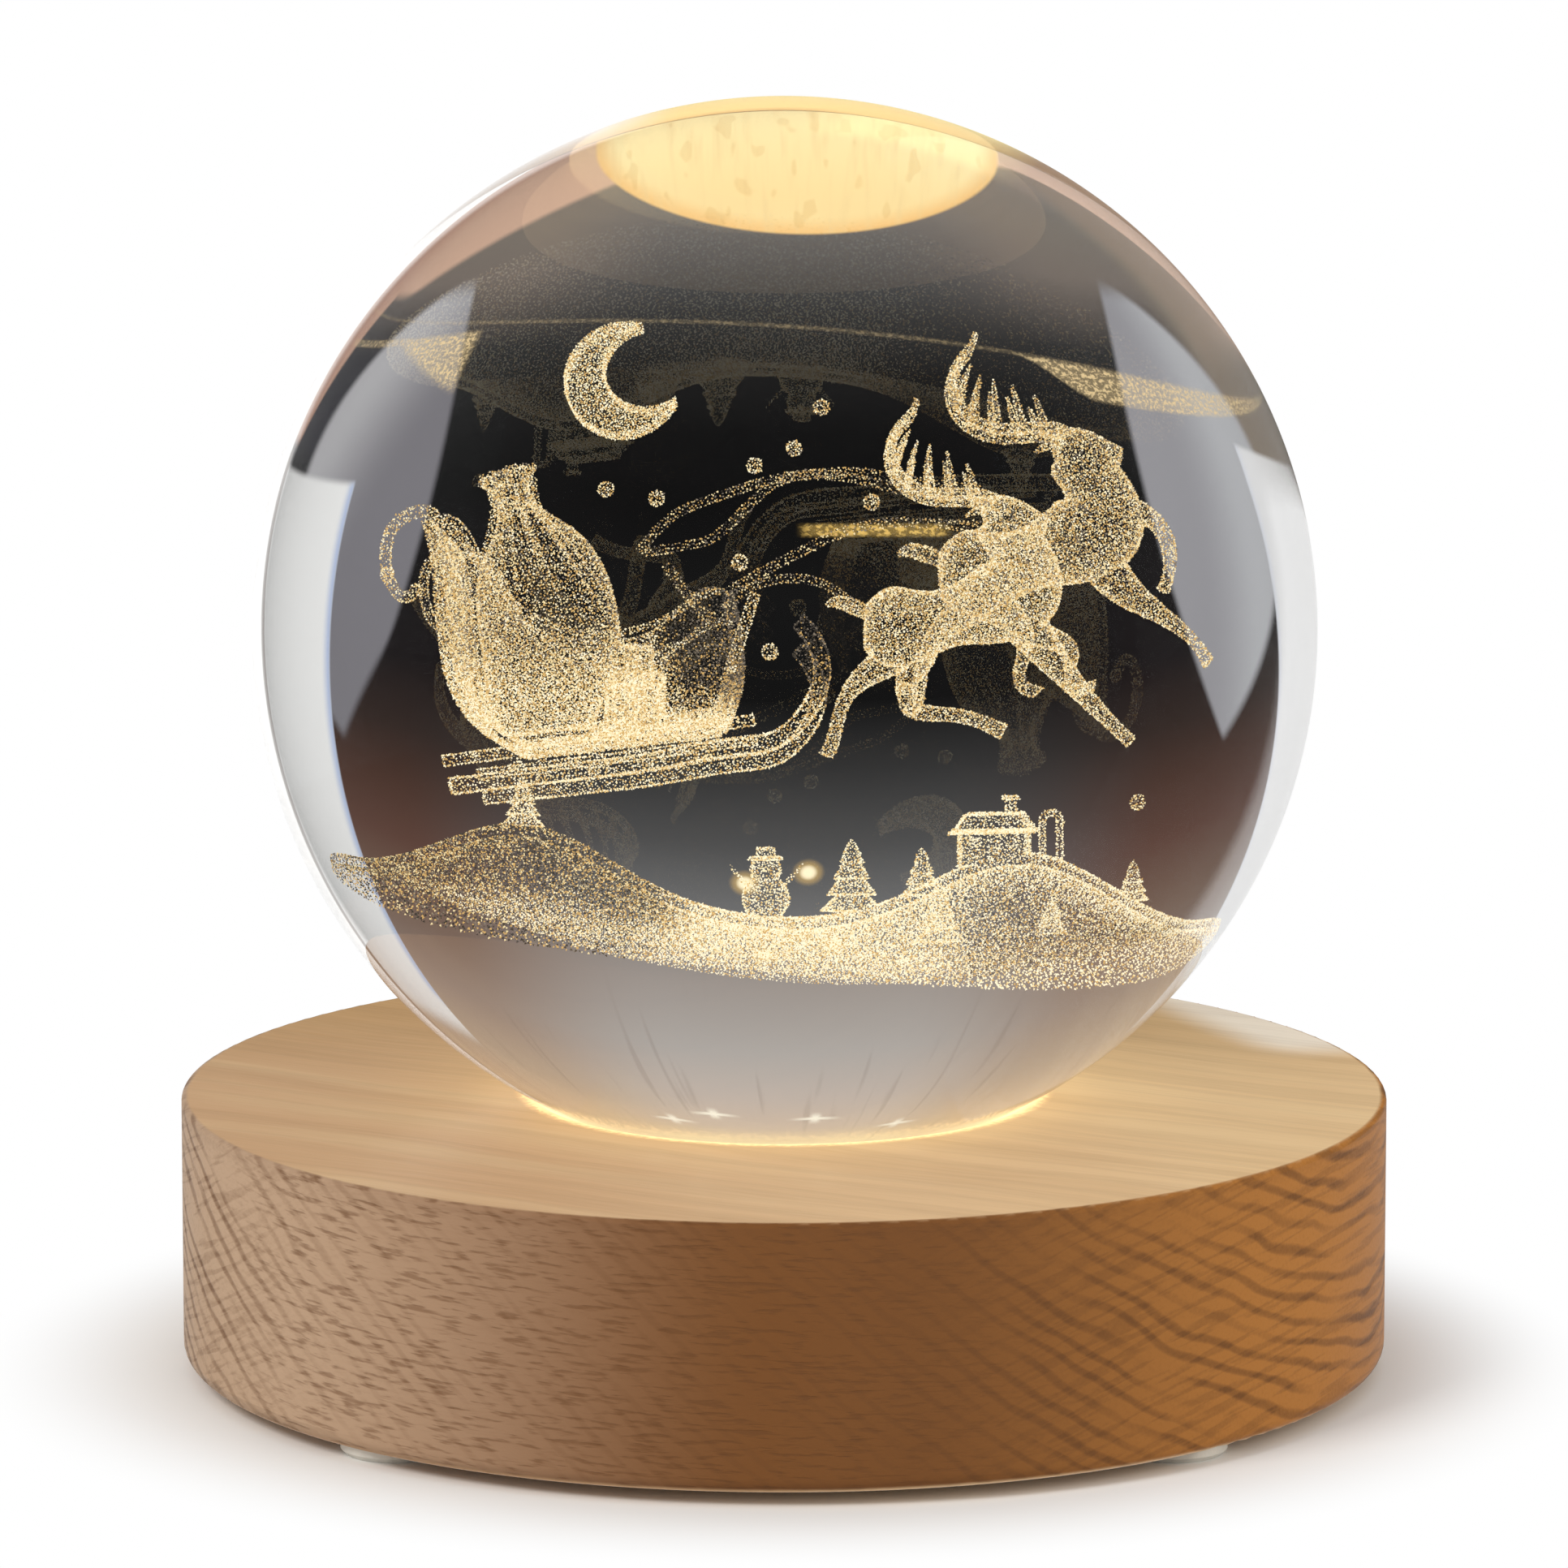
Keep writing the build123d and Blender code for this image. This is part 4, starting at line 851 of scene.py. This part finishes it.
    def ghosts(self):
        """Painted reflections: faint double images of the lit landscape, and of the lamps in front of it."""
        azimuth, elevation = self.azimuth, self.elevation
        dust = self.graph.noise(azimuth * 1.7, elevation * 2.4, 0, 2.0, 0.7).rise(0.46, 0.60)
        cover = 0.25 + dust * 0.6
        wedge = elevation + 26.2 + (azimuth + 97) * 0.075
        thick = (azimuth + 30).rise(-66, -2, 0.5, 3.4) * (azimuth + 22).fall(-9, 0)
        ghost = wedge.rise(-0.5, 0.3) * (thick - wedge).rise(-0.2, 0.4) * azimuth.rise(-96, -90)
        self.paint(ghost * cover, (0.95, 0.72, 0.38))
        corner = (azimuth - 33.5).rise(0, 1.5) * (elevation + 28.6 + (azimuth - 34) * 0.36).fall(-1.0, 0.4)
        corner = corner * (elevation + 35.6).rise(0, 0.8) * (azimuth - 50).fall(0, 1)
        tail = abs(elevation + 35.0).fall(0.25, 0.6) * azimuth.rise(48, 50) * azimuth.fall(70, 73) * 0.6
        self.paint(corner.most(tail) * cover, (0.95, 0.72, 0.38))
        bar = azimuth.within(-12, -1.5, 1.5) * abs(elevation + 16.7).fall(0.2, 0.6)
        self.paint(bar * cover, (0.95, 0.62, 0.16))

    def spot(self, azimuth, elevation, size):
        """1 at a direction, fading to 0 at size degrees from it."""
        a = math.radians(azimuth)
        e = math.radians(elevation)
        x, y, z = self.ray
        near = x * (math.cos(e) * math.sin(a)) + y * (math.cos(e) * math.cos(a)) + z * math.sin(e)
        return near.rise(math.cos(math.radians(size)), math.cos(math.radians(size * 0.25)))

    def glints(self):
        """Painted glints of the four lamps, seen twice: as spots over the ball's foot and as stars under its
        crown.
        """
        for azimuth, elevation in ((2.9, 9.2), (-1.8, 8.2), (1.5, 16.3), (-3.9, 15.2)):
            self.paint(self.spot(azimuth, elevation, 1.3) * 0.5, (0.9, 0.6, 0.2))
            self.paint(self.spot(azimuth, elevation, 0.75), (1.2, 1.05, 0.7))
        for azimuth, elevation in ((17.1, 49.2), (9.8, 45.6), (-4.4, 46.3), (-18.3, 51.1)):
            across = abs((self.azimuth - azimuth) * 0.55)
            upright = abs(self.elevation - elevation - across * 0.15)
            star = across.fall(0, 2.4) * upright.fall(0.15, 0.7)
            star = star.most(across.fall(0.1, 0.6) * upright.fall(0, 2.4))
            self.paint(star * 0.9, (1.2, 1.15, 0.95))

    def painted(self):
        """All layers in order, and a plain room for the rays that turn back inside the ball."""
        for layer in (
            self.room, self.curtains, self.soft_boxes, self.rosy_edges, self.crown, self.ghosts, self.glints,
        ):
            layer()
        _, y, z = self.ray
        ahead = y * AXIS_Y - z * AXIS_Z
        behind = self.graph.ramp(self.elevation, -60, 60, [(-60, 80), (0, 34), (20, 50), (60, 120)])
        self.paint(ahead.fall(-0.19, -0.145), behind)
        return self.colour


def on_gloss(graph, ray):
    """What gloss shows: a dark studio, with a bright ring behind the object that lights the ball's rim."""
    x, y, z = ray
    ahead = y * AXIS_Y - z * AXIS_Z
    up = y * AXIS_Z + z * AXIS_Y
    clock = up.math("ARCTAN2", x) * math.degrees(1)
    room = graph.ramp(z, -1, 1, [(-1, 60), (-0.1, 80), (0.3, 100), (0.6, 70), (1, 50)])
    white, dark, brown, warm = (1.2, 1.2, 1.2), (0.15, 0.13, 0.11), (0.42, 0.31, 0.24), (1.0, 0.85, 0.45)
    ring = graph.ramp(clock, -180, 180, [
        (-180, white), (-60, 250), (14, 250), (19, dark), (30, dark), (35, brown), (62, brown), (68, warm),
        (102, warm), (110, white), (180, white),
    ])
    wide = x.rise(0, 0.1)
    near = ahead.rise(0.66, 0.76) * wide + ahead.rise(0.86, 0.90) * (1 - wide)
    return graph.mix(near, room, ring)


def studio(settings):
    """The world: white behind the object, and what the glass and the gloss see."""
    world = bpy.data.worlds.new("studio")
    world.use_nodes = True
    world.node_tree.nodes.clear()
    world.cycles.sampling_method = "NONE"
    graph = Graph(world.node_tree)
    ray = graph.split(graph.add("ShaderNodeTexCoord", output="Generated"))
    shader = graph.add("ShaderNodeBackground", {}, {"Color": (settings.ambient,) * 3})
    for kind, colour in (
        ("Glossy", on_gloss(graph, ray)),
        ("Transmission", Surroundings(graph, ray).painted()),
        ("Camera", (1, 1, 1)),
    ):
        layer = graph.add("ShaderNodeBackground", {}, {"Color": colour})
        shader = graph.add("ShaderNodeMixShader", {}, {0: graph.ray(kind), 1: shader, 2: layer})
    graph.add("ShaderNodeOutputWorld", {}, {"Surface": shader})
    bpy.context.scene.world = world


# Stage: the floor's radius in metres and the width of the camera's sensor in millimetres
FLOOR_R = 6.0
SENSOR = 36


def floor_material(settings):
    """Pale floor that fades to white, and that gloss and glass look straight through."""
    material, graph, (x, y, _) = new_material("studio_floor")
    paint = graph.add("ShaderNodeBsdfDiffuse", {}, {"Color": settings.floor})
    white = graph.add("ShaderNodeEmission", {}, {"Color": (1, 1, 1)})
    far = distance(x, y).rise(44, 62) * graph.ray("Camera")
    base = graph.add("ShaderNodeMixShader", {}, {0: far, 1: paint, 2: white})
    clear = graph.add("ShaderNodeBsdfTransparent", {}, {"Color": (1, 1, 1)})
    seen = graph.ray("Glossy").most(graph.ray("Transmission"))
    mixed = graph.add("ShaderNodeMixShader", {}, {0: seen, 1: base, 2: clear})
    graph.add("ShaderNodeOutputMaterial", {}, {"Surface": mixed})
    return material


def area_light(name, place, target, size, power, colour):
    """A square light that neither the gloss nor the glass shows."""
    data = bpy.data.lights.new(name, "AREA")
    data.shape = "SQUARE"
    data.size = size
    data.energy = power
    data.color = colour
    made = shown(name, data)
    made.location = place
    made.rotation_euler = (Vector(target) - Vector(place)).to_track_quat("-Z", "Y").to_euler()
    made.visible_transmission = False
    made.visible_glossy = False


# Operators
class NIGHT_LIGHT_OT_wood_base(Operator):
    """Gives the turned base its beech, with painted lamp light round the ball"""

    bl_idname = "night_light.wood_base"
    bl_label = "Wood base"

    def execute(self, context):
        dress(beech(context.scene.night_light.wood), "wood_base")
        return {"FINISHED"}


class NIGHT_LIGHT_OT_ball(Operator):
    """Makes the solid glass ball"""

    bl_idname = "night_light.ball"
    bl_label = "Ball"

    def execute(self, context):
        bm = bmesh.new()
        bmesh.ops.create_icosphere(bm, subdivisions=7, radius=BALL_R, matrix=Matrix.Translation(BALL_CENTRE))
        mesh = mesh_of("glass_ball", bm)
        mesh.shade_smooth()
        mesh.materials.append(clear_glass(context.scene.night_light.glass))
        piece = shown("glass_ball", mesh)
        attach(piece, "ball")
        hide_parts("crystal_ball")
        return {"FINISHED"}


class NIGHT_LIGHT_OT_landscape(Operator):
    """Engraves the hills, the trees, the cottage and the snow figure"""

    bl_idname = "night_light.landscape"
    bl_label = "Landscape"

    def execute(self, context):
        node = "engraved_landscape"
        hills = Form()
        hills.solid(node, on_ground)

        def painted_hill_light(x, y, z):
            # Painted shade on the left hill's left face and on the right hill's front, where the lamps' light
            # is blocked
            left_face = np.clip((-4 - x) / 3, 0, 1) * np.clip((y + 8) / 2, 0, 1)
            right_front = np.clip((x - 8) / 3, 0, 1) * np.clip((-3 - y) / 2, 0, 1)
            return 0.45 - 0.95 * left_face - 0.95 * right_front

        engrave(hills, "engraved_hills", node, spacing=0.15, seed=11, light=painted_hill_light, spread=1.5)
        village = village_trim()
        village.solid(node, lambda x, y, z: not on_ground(x, y, z))
        engrave(village, "engraved_village", node, spacing=0.11, seed=21, light=0.5)
        return {"FINISHED"}


class NIGHT_LIGHT_OT_sky(Operator):
    """Engraves the crescent moon and the falling snow"""

    bl_idname = "night_light.sky"
    bl_label = "Sky"

    def execute(self, context):
        sky = (("engraved_moon", 0.095, 51, 0.35), ("engraved_snow", 0.12, 61, 0.2))
        for node, spacing, seed, level in sky:
            form = Form()
            form.solid(node)
            engrave(form, f"{node}_cracks", node, spacing, seed, level)
        return {"FINISHED"}


class NIGHT_LIGHT_OT_sleigh(Operator):
    """Engraves the sleigh, its load and the reins"""

    bl_idname = "night_light.sleigh"
    bl_label = "Sleigh"

    def execute(self, context):
        node = "engraved_sleigh"

        def painted_tub_light(x, y, z):
            # Painted light low in the tub and painted shade at its front
            low = np.clip((-1.0 - z) / 1.5, 0, 1)
            front = np.clip(x + 6.0, 0, 1) * np.clip(z + 4.0, 0, 1)
            return 0.05 + 0.3 * low - 0.75 * front

        inner = 3.8
        tub = Form()
        tub.solid(node, lambda x, y, z: abs(y) < inner)
        engrave(tub, "engraved_tub", node, spacing=0.12, seed=71, light=painted_tub_light)
        sides = Form()
        sides.solid(node, lambda x, y, z: abs(y) >= inner)
        engrave(sides, "engraved_tub_sides", node, spacing=0.12, seed=75, light=painted_tub_light)
        engrave(sleigh_trim(), "engraved_load", node, spacing=0.13, seed=81, light=0.25)
        engrave(reins(), "engraved_reins", node, spacing=0.14, seed=101, light=-0.1, crack=0.9)
        return {"FINISHED"}


class NIGHT_LIGHT_OT_stags(Operator):
    """Engraves the pair of stags"""

    bl_idname = "night_light.stags"
    bl_label = "Stags"

    def execute(self, context):
        node = "engraved_stags"
        engrave(stag(near=True), "engraved_near_stag", node, spacing=0.095, seed=91, light=0.2)
        engrave(stag(near=False), "engraved_far_stag", node, spacing=0.095, seed=95, light=0.1)
        return {"FINISHED"}


class NIGHT_LIGHT_OT_lamps(Operator):
    """Finishes the lamps, their board, the reflector and the window"""

    bl_idname = "night_light.lamps"
    bl_label = "Lamps"

    def execute(self, context):
        lamps = context.scene.night_light.lamps
        parts = context.scene.night_light.parts
        light = lamps.phosphor
        dress(lit("phosphor", "f2c84a", light, lamps.strength, 30), "led_phosphors")
        # Painted lamp light: the reflector and the lamp packages glow as emission though they are no lamps
        dress(lit("lit_reflector", parts.white, light, 1.1, 24), "reflector")
        dress(lit("lamp_package", parts.white, light, 0.8, 24), "led_packages")
        dress(clear_glass(context.scene.night_light.glass), "light_window")
        dress(circuit_board("lamp_board", parts.board, "c9c6b8"), "led_board")
        dress(moulded("resistor_ceramic", "23211f", 0.4), "led_resistors")
        dress(metal("zinc_screws", parts.steel, 0.3), "led_board_screws")
        dress(moulded("plug_white", parts.white, 0.4), "led_header")
        return {"FINISHED"}


class NIGHT_LIGHT_OT_inlet(Operator):
    """Finishes the rear insert, the power inlet and the control board"""

    bl_idname = "night_light.inlet"
    bl_label = "Power inlet"

    def execute(self, context):
        parts = context.scene.night_light.parts
        dress(moulded("insert_plastic", parts.plastic, 0.48, 0.10), "rear_housing")
        dress(metal("nickel_shell", parts.steel, 0.24), "socket_shell")
        dress(moulded("tongue_plastic", scaled(parts.plastic, 0.7), 0.5), "socket_tongue")
        dress(metal("plated_contacts", parts.gold, 0.22), "socket_contacts")
        dress(circuit_board("control_mask", parts.control, "3f8a5c"), "control_board")
        dress(metal("board_screws", scaled(parts.steel, 0.9), 0.32), "control_board_screws")
        dress(moulded("chip_epoxy", "18181a", 0.5, 0.08), "control_chip")
        dress(metal("capacitor_can", "c2c4c8", 0.3), "control_capacitors")
        dress(moulded("plug_cream", parts.white, 0.42), "control_header")
        dress(moulded("lead_red", parts.red, 0.4), "wire_red")
        dress(moulded("lead_black", "161616", 0.4), "wire_black")
        return {"FINISHED"}


class NIGHT_LIGHT_OT_push_button(Operator):
    """Finishes the push button and its switch"""

    bl_idname = "night_light.push_button"
    bl_label = "Push button"

    def execute(self, context):
        parts = context.scene.night_light.parts
        dress(moulded("button_plastic", scaled(parts.plastic, 1.5), 0.36, 0.09), "button_cap")
        dress(moulded("switch_case", parts.plastic, 0.5), "switch_body")
        dress(moulded("plunger_plastic", "8f2b20", 0.42), "switch_plunger")
        dress(metal("spring_steel", scaled(parts.steel, 0.85), 0.3), "switch_spring")
        dress(metal("terminal_tin", "c9c8c2", 0.34), "switch_terminals")
        return {"FINISHED"}


class NIGHT_LIGHT_OT_underside(Operator):
    """Finishes the cover, its screws and the foot pads"""

    bl_idname = "night_light.underside"
    bl_label = "Underside"

    def execute(self, context):
        parts = context.scene.night_light.parts
        dress(moulded("cover_plastic", scaled(parts.plastic, 1.15), 0.55, 0.16), "bottom_cover")
        dress(metal("cover_screw_steel", parts.steel, 0.3), "cover_screws")
        dress(rubber("pad_rubber", parts.rubber), "foot_pads")
        return {"FINISHED"}


class NIGHT_LIGHT_OT_stage(Operator):
    """Sets up the floor, the lights, the surroundings and the camera"""

    bl_idname = "night_light.stage"
    bl_label = "Stage"

    def execute(self, context):
        settings = context.scene.night_light.stage
        scene = context.scene
        scene.view_settings.view_transform = "Standard"
        bm = bmesh.new()
        bmesh.ops.create_circle(bm, cap_ends=True, segments=96, radius=FLOOR_R)
        mesh = mesh_of("floor", bm)
        mesh.materials.append(floor_material(settings))
        floor = shown("floor", mesh)
        studio(settings)
        aim = (0, 0, 0.02)
        area_light("key_light", (-0.75, -0.75, 0.95), aim, 0.5, settings.key, (1.0, 0.98, 0.95))
        area_light("fill_light", (0.9, -0.5, 0.5), aim, 0.6, settings.fill, (1.0, 0.96, 0.9))
        data = bpy.data.cameras.new("camera")
        data.sensor_width = SENSOR
        data.lens = settings.lens
        data.shift_y = settings.shift
        camera = shown("camera", data)
        target = Vector((0, 0, settings.target))
        back = Vector((0, -math.cos(settings.elevation), math.sin(settings.elevation)))
        camera.location = target + settings.distance * back
        camera.rotation_euler = (-back).to_track_quat("-Z", "Y").to_euler()
        scene.camera = camera
        return {"FINISHED"}


class NIGHT_LIGHT_PT_panel(Panel):
    """Lists the steps that make the night light"""

    bl_label = "Night light"
    bl_idname = "NIGHT_LIGHT_PT_panel"
    bl_space_type = "VIEW_3D"
    bl_region_type = "UI"
    bl_category = "Night light"

    def draw(self, context):
        for step in STEPS:
            self.layout.operator(step.bl_idname)
        settings = context.scene.night_light
        for group in settings.__annotations__:
            box = self.layout.box()
            box.label(text=group.capitalize())
            for name in getattr(settings, group).__annotations__:
                box.prop(getattr(settings, group), name)


SETTINGS = (
    NightLightWood, NightLightGlass, NightLightEngraving, NightLightLamps, NightLightParts, NightLightStage,
    NightLightSettings,
)
STEPS = (
    NIGHT_LIGHT_OT_stage, NIGHT_LIGHT_OT_wood_base, NIGHT_LIGHT_OT_ball, NIGHT_LIGHT_OT_landscape,
    NIGHT_LIGHT_OT_sky, NIGHT_LIGHT_OT_sleigh, NIGHT_LIGHT_OT_stags, NIGHT_LIGHT_OT_lamps,
    NIGHT_LIGHT_OT_inlet, NIGHT_LIGHT_OT_push_button, NIGHT_LIGHT_OT_underside,
)


def register():
    for each in (*SETTINGS, *STEPS, NIGHT_LIGHT_PT_panel):
        bpy.utils.register_class(each)
    bpy.types.Scene.night_light = PointerProperty(
        type=NightLightSettings, name="Night light", description="Settings of the night light"
    )


def unregister():
    del bpy.types.Scene.night_light
    for each in (NIGHT_LIGHT_PT_panel, *reversed(STEPS), *reversed(SETTINGS)):
        bpy.utils.unregister_class(each)


def main():
    register()
    for step in STEPS:
        group, name = step.bl_idname.split(".")
        getattr(getattr(bpy.ops, group), name)()


if __name__ == "__main__":
    main()
